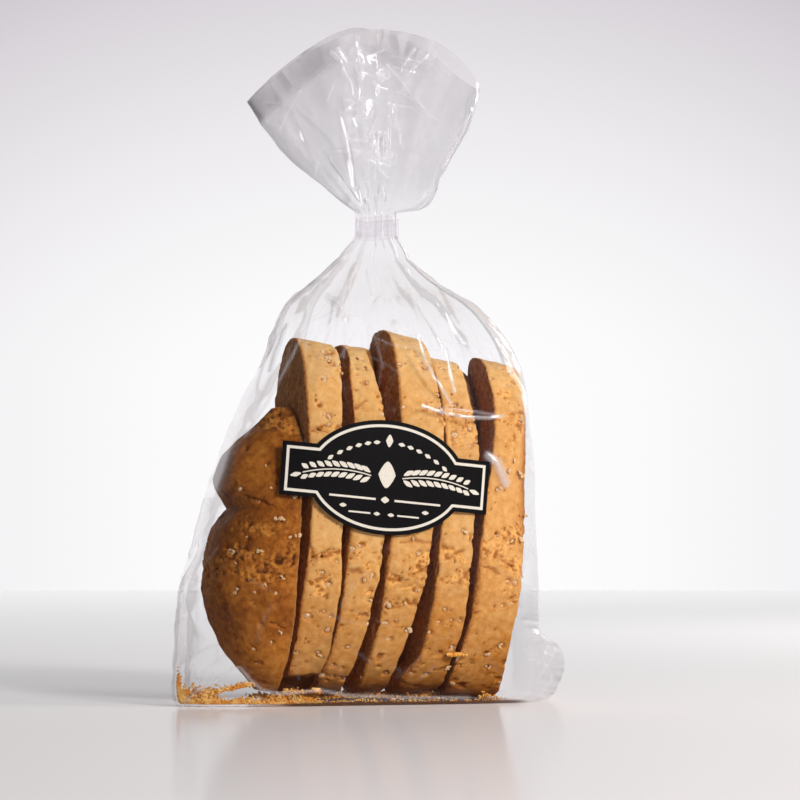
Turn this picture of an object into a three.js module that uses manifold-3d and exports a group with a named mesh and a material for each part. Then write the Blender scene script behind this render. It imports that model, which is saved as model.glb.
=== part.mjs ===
// A tied clear bag of biscotti, in millimetres, +Z up, standing on its flat bottom. +X runs along the front to the
// right, and -Y is the front, where the label is. The sealed bag and what fills it are one solid: a gusseted film bag
// whose front is ribbed by the slices standing behind it, drawn in to a taped neck and fanned out above the tape.
import * as THREE from "three";
import { mergeVertices } from "three/addons/utils/BufferGeometryUtils.js";
import Module from "manifold-3d";

const BAG_HEIGHT = 250;
const CLEARANCE = 0.3; // between pieces that touch

// The filled body, from the floor to the foot of the neck. Each station is a height, the reach of the film to the left,
// right, front and back of the bag's middle, and how square the section is, where 2 is an ellipse.
const BODY = [
  { z: 0, left: 67.5, right: 60, front: 25.5, back: 26, square: 5 },
  { z: 3, left: 69, right: 62.5, front: 27.5, back: 28, square: 5 },
  { z: 20, left: 69, right: 61.5, front: 28.4, back: 29, square: 4.4 },
  { z: 41, left: 68.3, right: 61, front: 28.5, back: 29, square: 4 },
  { z: 58, left: 63.8, right: 61, front: 28.5, back: 28.6, square: 3.8 },
  { z: 76, left: 59.4, right: 60.5, front: 28, back: 27.6, square: 3.6 },
  { z: 95, left: 52.7, right: 59.5, front: 27, back: 26.4, square: 3.4 },
  { z: 112, left: 45.5, right: 58.5, front: 25.5, back: 25, square: 3.2 },
  { z: 123, left: 42, right: 57, front: 24, back: 23.6, square: 2.9 },
  { z: 134, left: 38, right: 52, front: 21.5, back: 21.5, square: 2.6 },
  { z: 145, left: 33, right: 41.5, front: 17.5, back: 17.5, square: 2.3 },
  { z: 153, left: 23, right: 27.5, front: 13, back: 13, square: 2.1 },
  { z: 162, left: 11.5, right: 16, front: 9, back: 9, square: 2 },
];
const BODY_ROWS = 32;
const ROW_SPACING = 0.93; // a little closer together towards the top

// The bottom gusset leaves a folded ear at each end, a corner of the film that stands out from the body: how far back it
// is and spreads, how far it reaches, its share of that at the floor, the height where it is fullest, and its top.
const EARS = [
  { side: -1, depth: -16, spread: 9, reach: 8.1, foot: 1, fullest: 40, top: 68 },
  { side: 1, depth: -4, spread: 12, reach: 16.3, foot: 0.55, fullest: 13, top: 28 },
];
const EAR_FROM = 0.86; // the share of the half-width where an ear starts

// The neck, gathered to a bundle of pleats under a band of clear tape.
const NECK = { x: 2.8, radius: 7.1, bottom: 168, top: 179 };
const TAPE = { bottom: 169.5, height: 7.4, thickness: 0.5 };
const NECK_ROWS = 3;

// The free end of the bag above the tape: a flattened fan. Its rim falls from the crown to a corner at each end, and its
// two edges bow out on the way up. Between the corners the film bellies forward and back.
const FAN_LEFT = { reach: 46, height: 218, fall: 1.5, bow: 5 };
const FAN_RIGHT = { reach: 42, height: 226.5, fall: 1.85, bow: 6.5 };
const FAN_DEPTH = { front: 12, back: 13, square: 2.4, belly: 0.35 };
const FAN_FLUTES = { depth: 2.6, count: 6.5, phase: 0.9, sag: 4.8 }; // waves of the rim, and dips of its front
const FAN_POUCH = { reach: 8, at: 0.08, spread: 0.2 }; // the film folds out over the tape on the right
const FAN_MOUTH = [{ t: 0.985, width: 0.93 }, { t: 0.8, width: 0.86 }]; // the mouth's lip and the bottom of its hollow
const FAN_ROWS = 12;

// What stands behind the front film: the gaps between the pieces, from left to right, as a place along X at mid-height
// and a lean per millimetre of height.
const GAPS = [
  { x: -30.4, lean: 0.06 },
  { x: -14.3, lean: 0.082 },
  { x: 0.6, lean: 0.096 },
  { x: 18, lean: 0.13 },
  { x: 34, lean: 0.11 },
];
const GAP_MID_HEIGHT = 60;
const GAP_WIDTH = 5.6;
const GAP_DEPTH = 2;
const CONTENTS_TOP = 128;
const GAP_FADE = 14;

// Folds gathered by the neck: how many run round the bag, and how deep they are where the bag is widest and narrowest.
const FOLDS = [
  { count: 13, phase: 0.4, weight: 0.6 },
  { count: 8, phase: 1.9, weight: 0.4 },
];
const FOLD_SHOULDER = 0.1;
const FOLD_NECK = 0.16;
const FOLD_START = 112;
const FOLD_RISE = 16; // the height over which they come in

// The label: a bar with an oval across its middle, on the front film.
const LABEL = { x: -0.8, z: 81, tilt: THREE.MathUtils.degToRad(-5.4), thickness: 0.4 };
const LABEL_BAR = { width: 75, height: 18.6 };
const LABEL_OVAL = { width: 59, height: 41 };
const LABEL_GRID = { across: 26, up: 13 };

// How many columns of the loft lie over each piece, from left to right.
const FRONT_COLUMNS = [12, 6, 6, 6, 6, 12];
const BACK_COLUMNS = [8, 4, 4, 4, 4, 8];

const { lerp, clamp, smoothstep } = THREE.MathUtils;

/* ---------- the filled body ---------- */

// One station's worth of values at height z, on a smooth curve through the stations.
function bodyAt(z) {
  const above = BODY.findIndex((s) => s.z > z);
  const upper = above < 0 ? BODY.length - 1 : Math.max(1, above);
  const near = (i) => BODY[clamp(i, 0, BODY.length - 1)];
  const [before, low, high, after] = [upper - 2, upper - 1, upper, upper + 1].map(near);
  const span = high.z - low.z;
  const t = clamp((z - low.z) / span, 0, 1);
  const at = (key) => {
    const slopeLow = (high[key] - before[key]) / (high.z - before.z);
    const slopeHigh = (after[key] - low[key]) / (after.z - low.z);
    const rise = high[key] - low[key];
    const hermite = slopeLow * span * t * (1 - t) ** 2 - slopeHigh * span * t * t * (1 - t);
    return low[key] + rise * t * t * (3 - 2 * t) + hermite;
  };
  const [left, right] = [at("left"), at("right")];
  return {
    left,
    right,
    middle: (right - left) / 2,
    half: (right + left) / 2,
    front: at("front"),
    back: at("back"),
    square: at("square"),
  };
}

// How far the section reaches towards the front or the back at a share s of its half-width.
function sectionDepth(reach, square, s) {
  return reach * (1 - Math.min(1, Math.abs(s)) ** square) ** (1 / square);
}

// The film's front at a place on the bag, as a Y, without the ribs.
function smoothFront(x, z) {
  const b = bodyAt(z);
  return -sectionDepth(b.front, b.square, (x - b.middle) / b.half);
}

const gapX = (gap, z) => gap.x + gap.lean * (z - GAP_MID_HEIGHT);

// How far the film sinks between two pieces behind it.
function gapDepth(x, z) {
  const fade = smoothstep(z, 0, GAP_FADE) * (1 - smoothstep(z, CONTENTS_TOP - GAP_FADE, CONTENTS_TOP));
  const nearest = Math.min(...GAPS.map((gap) => Math.abs(x - gapX(gap, z))));
  return GAP_DEPTH * fade * (1 - smoothstep(nearest, 0, GAP_WIDTH / 2));
}

// A column's share of the half-width at height z. Over the contents the columns run along the gaps, so that
// each rib is crisp, and above them they turn into even steps round the neck.
function columnShare(column, z) {
  const b = bodyAt(z);
  const edges = [-b.left, ...GAPS.map((gap) => gapX(gap, z)), b.right];
  const [start, end] = [edges[column.piece], edges[column.piece + 1]];
  const along = (lerp(start, end, column.share) - b.middle) / b.half;
  return lerp(along, column.s, smoothstep(z, CONTENTS_TOP - 2 * GAP_FADE, CONTENTS_TOP + GAP_FADE));
}

// A fold pattern round the bag: sharp ridges with rounded valleys between them, from 0 to 1.
function folds(turn) {
  return FOLDS.reduce((sum, f) => sum + f.weight * (1 - Math.abs(Math.sin((f.count * turn) / 2 + f.phase))), 0);
}

// How far an ear carries the film out to its side, for a share of the half-width, a depth and a height.
function earReach(ear, share, y, z) {
  const rising = lerp(ear.foot, 1, smoothstep(z, 0, ear.fullest));
  const height = rising * (1 - smoothstep(z, ear.fullest, ear.top));
  const pinch = Math.exp(-(((y - ear.depth) / ear.spread) ** 2));
  return ear.side * ear.reach * height * pinch * smoothstep(share * ear.side, EAR_FROM, 1);
}

function bodyPoint(column, z) {
  const b = bodyAt(z);
  const depth = lerp(FOLD_SHOULDER, FOLD_NECK, smoothstep(z, FOLD_START, NECK.bottom));
  const start = smoothstep(z, FOLD_START, FOLD_START + FOLD_RISE);
  const shrink = 1 - depth * start * (1 - folds(column.turn));
  const outward = column.front ? -1 : 1;
  const share = columnShare(column, z);
  const x = b.middle + b.half * share * shrink;
  const y = sectionDepth(column.front ? b.front : b.back, b.square, share) * shrink - gapDepth(x, z);
  const ears = EARS.reduce((sum, ear) => sum + earReach(ear, share, outward * y, z), 0);
  return new THREE.Vector3(x + ears, outward * y, z);
}

/* ---------- the neck and the fan above it ---------- */

function neckPoint(column, z) {
  const radius = NECK.radius * (1 - FOLD_NECK * (1 - folds(column.turn)));
  return new THREE.Vector3(
    NECK.x + radius * Math.sin(column.turn),
    -radius * Math.cos(column.turn),
    z,
  );
}

// A point of the fan's rim, which is arched and fluted. A width of less than 1 draws it in from the film's outside.
function rimPoint(column, width) {
  const s = column.s;
  const corner = s < 0 ? FAN_LEFT : FAN_RIGHT;
  const middling = 1 - s * s;
  const depth = sectionDepth(column.front ? -FAN_DEPTH.front : FAN_DEPTH.back, FAN_DEPTH.square, s) * width;
  const flute = FAN_FLUTES.depth * Math.sin(FAN_FLUTES.count * s + FAN_FLUTES.phase) * middling;
  const sag = column.front ? FAN_FLUTES.sag * middling * (1 + Math.cos(3 * column.turn)) * 0.5 : 0;
  const height = lerp(BAG_HEIGHT, corner.height, Math.abs(s) ** corner.fall);
  return new THREE.Vector3(s * corner.reach * width, depth + flute, height - sag);
}

function fanPoint(column, t, width = 1) {
  const foot = neckPoint(column, NECK.top);
  const point = foot.clone().lerp(rimPoint(column, width), t);
  const halfway = Math.sin(Math.PI * t); // 0 at the neck and the rim
  const bow = (column.s < 0 ? FAN_LEFT : FAN_RIGHT).bow * column.s * width;
  const pouch = FAN_POUCH.reach * Math.exp(-(((t - FAN_POUCH.at) / FAN_POUCH.spread) ** 2));
  point.x += bow * halfway + pouch * smoothstep(column.s, 0.2, 1);
  point.y *= 1 + FAN_DEPTH.belly * halfway;
  return point;
}

/* ---------- solids ---------- */

// The columns of one side of the loft, from left to right. A column belongs to a piece behind the film, and is some
// share of the way across it, closer together at the bag's two ends.
function sideColumns(front, counts) {
  const total = counts.reduce((sum, n) => sum + n, 0);
  return counts.flatMap((count, piece) =>
    Array.from({ length: count }, (_, i) => {
      const before = counts.slice(0, piece).reduce((sum, n) => sum + n, 0);
      const angle = -Math.PI / 2 + (Math.PI * (before + i)) / total;
      const even = i / count;
      const ends = { 0: 1 - Math.cos((even * Math.PI) / 2), [counts.length - 1]: Math.sin((even * Math.PI) / 2) };
      return { front, turn: front ? angle : Math.PI - angle, s: Math.sin(angle), piece, share: ends[piece] ?? even };
    }),
  );
}

// The columns once round: the front from left to right, then the back from right to left.
function columns() {
  const rightEdge = { front: false, turn: Math.PI / 2, s: 1, piece: GAPS.length, share: 1 };
  const back = sideColumns(false, BACK_COLUMNS).slice(1).reverse();
  return [...sideColumns(true, FRONT_COLUMNS), rightEdge, ...back];
}

// The rows of the loft, from the floor up over the rim and down into the fan's mouth.
function rows() {
  const body = Array.from({ length: BODY_ROWS + 1 }, (_, i) => {
    const share = ((i - 1) / (BODY_ROWS - 1)) ** ROW_SPACING;
    const z = i === 0 ? 0 : lerp(BODY[1].z, BODY.at(-1).z, share);
    return (column) => bodyPoint(column, z);
  });
  const neck = Array.from({ length: NECK_ROWS }, (_, i) => {
    const z = lerp(NECK.bottom, NECK.top, i / (NECK_ROWS - 1));
    return (column) => neckPoint(column, z);
  });
  const fan = Array.from({ length: FAN_ROWS }, (_, i) => (column) => fanPoint(column, (i + 1) / FAN_ROWS));
  const mouth = FAN_MOUTH.map(({ t, width }) => (column) => fanPoint(column, t, width));
  return [...body, ...neck, ...fan, ...mouth];
}

// A cylinder's grid, its points moved to the loft's rows and columns, and its end discs to the floor and the mouth.
function loft(ring, stack) {
  const geometry = new THREE.CylinderGeometry(1, 1, 1, ring.length, stack.length - 1);
  const points = geometry.getAttribute("position");
  const middle = (row) => {
    const sum = new THREE.Vector3();
    ring.forEach((column) => sum.add(row(column)));
    return sum.divideScalar(ring.length);
  };
  for (let i = 0; i < points.count; i++) {
    const [x, y, z] = [points.getX(i), points.getY(i), points.getZ(i)];
    const row = stack[Math.round((y + 0.5) * (stack.length - 1))];
    const share = Math.atan2(x, z) / (2 * Math.PI);
    const column = ring[Math.round((share + 1) * ring.length) % ring.length];
    const place = Math.hypot(x, z) < 0.5 ? middle(row) : row(column);
    points.setXYZ(i, place.x, place.y, place.z);
  }
  return geometry;
}

const wasm = await Module();
wasm.setup();

function toSolid(geometry) {
  const bare = new THREE.BufferGeometry();
  const flat = geometry.index ? geometry.toNonIndexed() : geometry;
  bare.setAttribute("position", flat.getAttribute("position"));
  const merged = mergeVertices(bare, 1e-4);
  return new wasm.Manifold(
    new wasm.Mesh({
      numProp: 3,
      vertProperties: merged.attributes.position.array,
      triVerts: new Uint32Array(merged.index.array),
    }),
  );
}

function toGeometry(solid) {
  const mesh = solid.getMesh();
  const geometry = new THREE.BufferGeometry();
  geometry.setAttribute("position", new THREE.BufferAttribute(new Float32Array(mesh.vertProperties), 3));
  geometry.setIndex(new THREE.BufferAttribute(new Uint32Array(mesh.triVerts), 1));
  return geometry;
}

// The label's outline: a bar whose middle swells into an oval above and below.
function labelShape() {
  const [barX, barZ] = [LABEL_BAR.width / 2, LABEL_BAR.height / 2];
  const [ovalX, ovalZ] = [LABEL_OVAL.width / 2, LABEL_OVAL.height / 2];
  const meet = Math.asin(barZ / ovalZ); // the oval's own angle where it leaves the bar
  const shape = new THREE.Shape();
  shape.moveTo(-barX, barZ);
  shape.lineTo(-barX, -barZ);
  shape.absellipse(0, 0, ovalX, ovalZ, Math.PI + meet, 2 * Math.PI - meet, false);
  shape.lineTo(barX, -barZ);
  shape.lineTo(barX, barZ);
  shape.absellipse(0, 0, ovalX, ovalZ, meet, Math.PI - meet, false);
  shape.closePath();
  return shape;
}

// The label's place on the bag: across and up on the label itself to X and Z on the bag.
function labelPlace(across, up) {
  const [c, s] = [Math.cos(LABEL.tilt), Math.sin(LABEL.tilt)];
  return [LABEL.x + across * c - up * s, LABEL.z + across * s + up * c];
}

// A sheet bent to the front film, cut to the label's outline.
function labelGeometry() {
  const cutter = new THREE.ExtrudeGeometry(labelShape(), {
    depth: 2 * Math.max(...BODY.map((b) => b.front)),
    bevelEnabled: false,
    curveSegments: 30,
  });
  cutter.rotateX(Math.PI / 2).rotateY(-LABEL.tilt).translate(LABEL.x, 0, LABEL.z);
  const [wide, high] = [LABEL_BAR.width + 4, LABEL_OVAL.height + 4]; // a margin to cut away
  const sheet = new THREE.BoxGeometry(wide, 1, high, LABEL_GRID.across, 1, LABEL_GRID.up);
  const points = sheet.getAttribute("position");
  for (let i = 0; i < points.count; i++) {
    const [x, z] = labelPlace(points.getX(i), points.getZ(i));
    const off = points.getY(i) > 0 ? CLEARANCE : CLEARANCE + LABEL.thickness;
    points.setXYZ(i, x, smoothFront(x, z) - off, z);
  }
  return toGeometry(toSolid(sheet).intersect(toSolid(cutter)));
}

// A closed ring of tape, turned about the neck.
function tapeGeometry() {
  const inner = NECK.radius + CLEARANCE;
  const outer = inner + TAPE.thickness;
  const profile = [
    [inner, 0],
    [outer, 0],
    [outer, TAPE.height],
    [inner, TAPE.height],
    [inner, 0],
  ].map(([r, z]) => new THREE.Vector2(r, z));
  return new THREE.LatheGeometry(profile, 40).rotateX(Math.PI / 2).translate(NECK.x, 0, TAPE.bottom);
}

function piece(name, geometry, look) {
  const mesh = new THREE.Mesh(geometry, new THREE.MeshStandardMaterial(look));
  mesh.name = name;
  return mesh;
}

const bagOfBiscotti = new THREE.Group();
bagOfBiscotti.add(
  piece("bag", loft(columns(), rows()), { color: 0xd39a55, roughness: 0.35, metalness: 0 }),
  piece("label", labelGeometry(), { color: 0x121214, roughness: 0.3, metalness: 0 }),
  piece("neck_tape", tapeGeometry(), { color: 0xeceaec, roughness: 0.25, metalness: 0 }),
);

export default bagOfBiscotti;
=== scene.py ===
import math
import random

import bmesh
import bpy
import numpy as np
from mathutils import Matrix, Vector


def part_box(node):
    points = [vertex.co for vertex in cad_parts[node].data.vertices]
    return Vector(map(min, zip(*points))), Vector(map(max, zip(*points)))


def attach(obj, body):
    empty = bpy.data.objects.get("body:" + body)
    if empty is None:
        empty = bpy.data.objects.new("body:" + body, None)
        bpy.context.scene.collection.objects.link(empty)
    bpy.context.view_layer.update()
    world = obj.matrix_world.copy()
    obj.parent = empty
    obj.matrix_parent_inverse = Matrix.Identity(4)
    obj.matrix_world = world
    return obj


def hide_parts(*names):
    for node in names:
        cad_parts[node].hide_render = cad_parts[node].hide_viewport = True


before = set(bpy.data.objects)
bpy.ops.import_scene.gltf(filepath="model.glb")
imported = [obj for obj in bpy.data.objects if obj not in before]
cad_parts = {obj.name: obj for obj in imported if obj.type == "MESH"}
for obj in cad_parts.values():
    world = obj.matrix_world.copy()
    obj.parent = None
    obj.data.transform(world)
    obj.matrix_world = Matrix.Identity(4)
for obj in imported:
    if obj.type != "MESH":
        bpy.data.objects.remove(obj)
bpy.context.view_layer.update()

# ---------- Camera and light ----------
# A long lens a little to the left of the bag's front, just above the table top. A softbox stands on the
# right, its cloth brightest at the core, and small ones light the film's rim and the table. The pale studio
# is brightest low behind the bag.
MM = 0.001
PALE_STUDIO = (0.622, 0.586, 0.630, 1)
STUDIO_FILL = 0.08  # how bright the dim side of the studio, towards the camera, lights the bag
DARKENS_FROM, DARKENS_OVER = 0.05, 0.127  # up from the horizon, as sines of the angle
DARKER_ABOVE, DARKER_ASIDE = 0.74, 0.32
VIEW_TURN = math.radians(-15)
CAMERA_AWAY, CAMERA_HEIGHT, AIM_HEIGHT = 1.1, 60 * MM, 110 * MM
view_right = Vector((math.cos(VIEW_TURN), math.sin(VIEW_TURN), 0))
view_back = Vector((math.sin(VIEW_TURN), -math.cos(VIEW_TURN), 0))
view_middle = view_right * 11.3 * MM
camera_data = bpy.data.cameras.new("camera")
camera_data.sensor_width, camera_data.lens = 36, 135.2
camera_data.clip_end = 50
camera = bpy.data.objects.new("camera", camera_data)
bpy.context.collection.objects.link(camera)
camera.location = view_middle + view_back * CAMERA_AWAY + Vector((0, 0, CAMERA_HEIGHT))
camera_aim = view_middle + Vector((0, 0, AIM_HEIGHT))
camera.rotation_euler = (camera_aim - camera.location).to_track_quat("-Z", "Y").to_euler()
scene = bpy.context.scene
scene.camera = camera
scene.view_settings.view_transform = "Standard"
scene.cycles.transparent_max_bounces = 64
scene.cycles.max_bounces = 12
scene.cycles.use_denoising = True


def softbox(name, place, aim, size, power, mirrored=True, lighting=True, spread=180):
    lamp = bpy.data.lights.new(name, "AREA")
    lamp.size, lamp.spread = size, math.radians(spread)
    lamp.energy, lamp.color = power, (1, 0.965, 0.93)
    holder = bpy.data.objects.new(name, lamp)
    bpy.context.collection.objects.link(holder)
    holder.visible_glossy, holder.visible_diffuse = mirrored, lighting
    holder.location = place
    holder.rotation_euler = (Vector(aim) - Vector(place)).to_track_quat("-Z", "Y").to_euler()


BAG_MIDDLE = (0, 0, 90 * MM)
softbox("softbox_core", (0.48, -1.32, 0.62), BAG_MIDDLE, 0.28, 17.5, mirrored=False)
softbox("softbox_cloth", (0.49, -1.34, 0.63), BAG_MIDDLE, 0.55, 3.2)
softbox("softbox_rim", (0.80, 0.28, 0.42), BAG_MIDDLE, 0.4, 2.2, lighting=False)
softbox("softbox_table", (0.6, -0.3, 0.5), (0.25, -0.05, 0), 0.3, 0.75, mirrored=False, spread=110)
softbox("softbox_far", (0.85, 0.5, 0.8), (0.85, 0.501, 0), 0.5, 2.3, mirrored=False, spread=90)


class Wire:
    """A node's output. Arithmetic on wires and numbers adds Math nodes to the material."""

    def __init__(self, tree, socket=None):
        self.tree = tree
        self.socket = socket

    def node(self, kind, sockets=None, settings=None, output=0):
        """Any node: its type, the values or wires of its sockets by name or number, and its settings."""
        made = self.tree.nodes.new("ShaderNode" + kind)
        for name, value in (settings or {}).items():
            if name == "stops":
                ramp = made.color_ramp
                while len(ramp.elements) < len(value):
                    ramp.elements.new(0.5)
                for element, (place, colour) in zip(ramp.elements, value):
                    element.position = place
                    element.color = colour
            else:
                setattr(made, name, value)
        for name, value in (sockets or {}).items():
            if isinstance(value, Wire):
                self.tree.links.new(value.socket, made.inputs[name])
            else:
                made.inputs[name].default_value = value
        return Wire(self.tree, made.outputs[output] if made.outputs else None)

    def math(self, operation, *values):
        return self.node("Math", dict(enumerate(values)), {"operation": operation})

    def __add__(self, other):
        return self.math("ADD", self, other)

    def __sub__(self, other):
        return self.math("SUBTRACT", self, other)

    def __mul__(self, other):
        return self.math("MULTIPLY", self, other)

    def __truediv__(self, other):
        return self.math("DIVIDE", self, other)

    def __pow__(self, other):
        return self.math("POWER", self, other)

    def __rsub__(self, other):
        return self.math("SUBTRACT", other, self)

    __radd__ = __add__

    def at_least(self, other):
        return self.math("MAXIMUM", self, other)

    def at_most(self, other):
        return self.math("MINIMUM", self, other)

    def step(self, low, high, bottom=0.0, top=1.0):
        """A smooth step from bottom to top as this goes from low to high."""
        sockets = {0: self, 1: low, 2: high, 3: bottom, 4: top}
        return self.node("MapRange", sockets, {"interpolation_type": "SMOOTHSTEP"})

    def blend(self, first, second):
        """One colour to another as this goes from 0 to 1."""
        return self.node("Mix", {0: self, 6: first, 7: second}, {"data_type": "RGBA"}, 2)


world = bpy.data.worlds.new("studio")
scene.world = world
world.use_nodes = True
world.node_tree.nodes.clear()
sky = Wire(world.node_tree)
heading = sky.node("TexCoord")


def heading_along(axis):
    return sky.node("VectorMath", {0: heading, 1: axis}, {"operation": "DOT_PRODUCT"}, 1)


upwards = heading_along((0, 0, 1))
darker_up = ((upwards - DARKENS_FROM).at_least(0) / DARKENS_OVER).at_most(1) ** 1.6
sideways = heading_along(tuple(view_right)) / 0.15
darker_aside = (sideways * sideways).at_most(1)
to_camera, to_mirrors = (sky.node("LightPath", output=kind) for kind in (0, 3))
vignette = to_camera.step(0, 1, 0.25, 1)
glow = 1 - darker_up * vignette * DARKER_ABOVE - darker_aside * vignette * DARKER_ASIDE
studio_colour = glow.at_least(0).blend(PALE_STUDIO, (1, 0.995, 1, 1))
dim_side, bright_side = to_mirrors.step(0, 1, STUDIO_FILL, 0.6), to_mirrors.step(0, 1, 0.7, 1.2)
behind = heading_along(tuple(-view_back)).step(0.55, 0.95, dim_side, bright_side)
overhead = upwards.step(0.25, 0.8, 0.0, 0.9) * to_mirrors
strength = to_camera.at_least(behind).at_least(overhead)
background = sky.node("Background", {"Color": studio_colour, "Strength": strength})
sky.node("OutputWorld", {"Surface": background})

# ---------- Table ----------
# A round table top of white gloss laminate. Its far edge is the horizon, and it mirrors the bag a little,
# blurred.
TABLE_RADIUS = 2.28
TABLE_MIRROR = 0.96  # how much it mirrors at its most slanting
MIRROR_FADE, FADE_POWER = 21, 1.3  # how soon that fades as it is seen from higher up


def new_material(name):
    """An empty node material, and a wire to start its nodes from."""
    material = bpy.data.materials.new(name)
    material.use_nodes = True
    material.node_tree.nodes.clear()
    return material, Wire(material.node_tree)


def finish_material(wire, shader):
    wire.node("OutputMaterial", {"Surface": shader})


def principled(wire, sockets):
    return wire.node("BsdfPrincipled", sockets)


def mixed(share, first, second):
    """Two shaders, mixed by a share from 0 to 1."""
    return first.node("MixShader", {0: share, 1: first, 2: second})


def object_from(bm, name, materials, smooth=True):
    """A mesh object at the origin from a finished bmesh."""
    mesh = bpy.data.meshes.new(name)
    bm.to_mesh(mesh)
    bm.free()
    for material in materials:
        mesh.materials.append(material)
    mesh.polygons.foreach_set("use_smooth", [smooth] * len(mesh.polygons))
    piece = bpy.data.objects.new(name, mesh)
    bpy.context.collection.objects.link(piece)
    return piece


laminate, wire = new_material("white_laminate")
matt = principled(wire, {"Base Color": (0.87, 0.845, 0.87, 1), "Roughness": 0.8, "Specular IOR Level": 0.0})
head_on = 1 - wire.node("LayerWeight", {"Blend": 0.5}, output=1)
glossy = principled(wire, {"Base Color": (0.985, 0.98, 0.985, 1), "Metallic": 1.0,
                           "Roughness": head_on.step(0.0, 0.05, 0.01, 0.12)})
mirrored = wire.math("POWER", 2.718, (head_on * MIRROR_FADE) ** FADE_POWER * -1) * TABLE_MIRROR
finish_material(wire, mixed(mirrored, matt, glossy))
bm = bmesh.new()
bmesh.ops.create_circle(bm, cap_ends=True, segments=192, radius=TABLE_RADIUS)
bmesh.ops.translate(bm, verts=bm.verts, vec=(0, 0, -0.1 * MM))
table = object_from(bm, "table_top", [laminate], smooth=False)

# ---------- Slices ----------
# Five biscotti standing on end behind the front film, cut across a baked loaf: the domed crust faces front,
# the loaf's flat base faces back, and the two sides are cut faces. Each leans and turns in its own way.
random.seed(7)
BAG_STATIONS = np.array([
    # height, then the film's reach left, right, front and back, and how square the section is
    (0, 67.5, 60, 25.5, 26, 5), (3, 69, 62.5, 27.5, 28, 5), (20, 69, 61.5, 28.4, 29, 4.4),
    (41, 68.3, 61, 28.5, 29, 4), (58, 63.8, 61, 28.5, 28.6, 3.8), (76, 59.4, 60.5, 28, 27.6, 3.6),
    (95, 52.7, 59.5, 27, 26.4, 3.4), (112, 45.5, 58.5, 25.5, 25, 3.2), (123, 42, 57, 24, 23.6, 2.9),
    (134, 38, 52, 21.5, 21.5, 2.6), (145, 33, 41.5, 17.5, 17.5, 2.3), (153, 23, 27.5, 13, 13, 2.1),
    (162, 11.5, 16, 9, 9, 2),
])
VOXEL = 0.6
SLICE_GAP = 0.4  # between neighbours that touch
LOAF_BASE = 16  # the loaf's flat base, back along Y
LOAF_WIDEST = 5  # where it is widest
LOAF_FRONT = -27  # the middle of its domed crust
DOME_POWER, BASE_POWER = 2.15, 3.4  # how square the dome and the base's corners are
# Each slice: the yaw of its cut faces, its top and bottom, the front of its dome at its left and right
# edges, and its crust's left and right edges at a row of heights.
SLICES = {
    "slice_1": (6.5, 131.5, 3.5, -26.4, -27.2, [
        (123, -27.7, -13.4), (109, -28.1, -15), (94, -28.2, -15.6), (73, -28, -16.2), (59, -28.4, -16.6),
        (45, -29.8, -16.2), (38, -30.6, -17.3), (23, -31.6, -18.1), (14, -32.6, -18.5)]),
    "slice_2": (6.5, 129.5, 3.2, -27.3, -27.4, [
        (127, -9.6, -2), (116, -11.2, -0.7), (109, -11.4, 0.3), (102, -11.4, 0.7), (80, -12.7, 0.2),
        (59, -13.8, -0.6), (45, -15.4, -2.6), (30, -16.8, -5.4), (16, -19, -8.7), (9, -20.9, -11.1)]),
    "slice_3": (8.5, 134.5, 2.8, -27.4, -27.4, [
        (129, 6.2, 20.2), (116, 6.2, 21), (102, 5.8, 22.3), (80, 3.7, 20.1), (59, 1.2, 16.5),
        (45, -0.2, 14.9), (30, -1.7, 11.1), (16, -3.9, 7.4), (9, -5.7, 5.3)]),
    "slice_4": (5, 126, 2.8, -27.2, -26.8, [
        (122, 21.4, 33.6), (116, 21.8, 33.5), (109, 22.4, 33.5), (95, 22.6, 35.2), (59, 19.3, 31.9),
        (37, 17.7, 30.9), (23, 16.1, 28.9), (16, 14.6, 27.3), (9, 9.6, 26.3)]),
    "slice_5": (2.5, 125, 1.2, -26.8, -24, [
        (124, 42, 56.2), (117, 42, 55.3), (110, 42.4, 55.1), (102, 41.9, 54.9), (95, 40.8, 54.4),
        (59, 34.8, 52.6), (44, 33.9, 51.3), (30, 32.2, 50.2), (16, 29, 48.8), (9, 27.6, 48.6)]),
}
BROKEN_FOOT = {"slice_1": 10.0}  # the height below which a slice's crust is broken away and set back, painted nearly black there as shade
PAINTED_SHADE = {"slice_3": 0.02, "slice_4": 0.07, "slice_5": 0.1}  # painted shade: how much darker the crust of a slice to the right is painted
TOP_FALL = {"slice_1": 2.0, "slice_2": 1.5, "slice_3": 3.5, "slice_4": 2.5, "slice_5": 3.0}


def bag_section(z):
    """The film's reach left, right, front and back and its squareness at heights z, on a smooth curve."""
    z = np.asarray(z, float)
    heights, values = BAG_STATIONS[:, 0], BAG_STATIONS[:, 1:]
    last = len(heights) - 1
    index = np.arange(last + 1)
    before, after = np.maximum(index - 1, 0), np.minimum(index + 1, last)
    slopes = (values[after] - values[before]) / (heights[after] - heights[before])[:, None]
    low = np.clip(np.searchsorted(heights, z, "right") - 1, 0, last - 1)
    span = (heights[low + 1] - heights[low])[..., None]
    t = np.clip((z[..., None] - heights[low][..., None]) / span, 0, 1)
    rise = (values[low + 1] - values[low]) * t * t * (3 - 2 * t)
    bend = slopes[low] * span * t * (1 - t) ** 2 - slopes[low + 1] * span * t * t * (1 - t)
    return np.moveaxis(values[low] + rise + bend, -1, 0)


def keep_in_film(points, gap=0.8):
    """Draws points that would touch the film in to a gap inside it, as if it pressed on them."""
    left, right, front, back, square = bag_section(points[:, 2])
    middle, half = (right - left) / 2, (right + left) / 2
    reach = np.where(points[:, 1] < 0, front, back)
    across, deep = (points[:, 0] - middle) / (half - gap), points[:, 1] / (reach - gap)
    out = (np.abs(across) ** square + np.abs(deep) ** square) ** (1 / square)
    shrink = np.minimum(1, 1 / np.maximum(out, 1e-6))
    points[:, 0] = middle + (points[:, 0] - middle) * shrink
    points[:, 1] *= shrink
    points[:, 2] = np.maximum(points[:, 2], gap)
    return points


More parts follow.
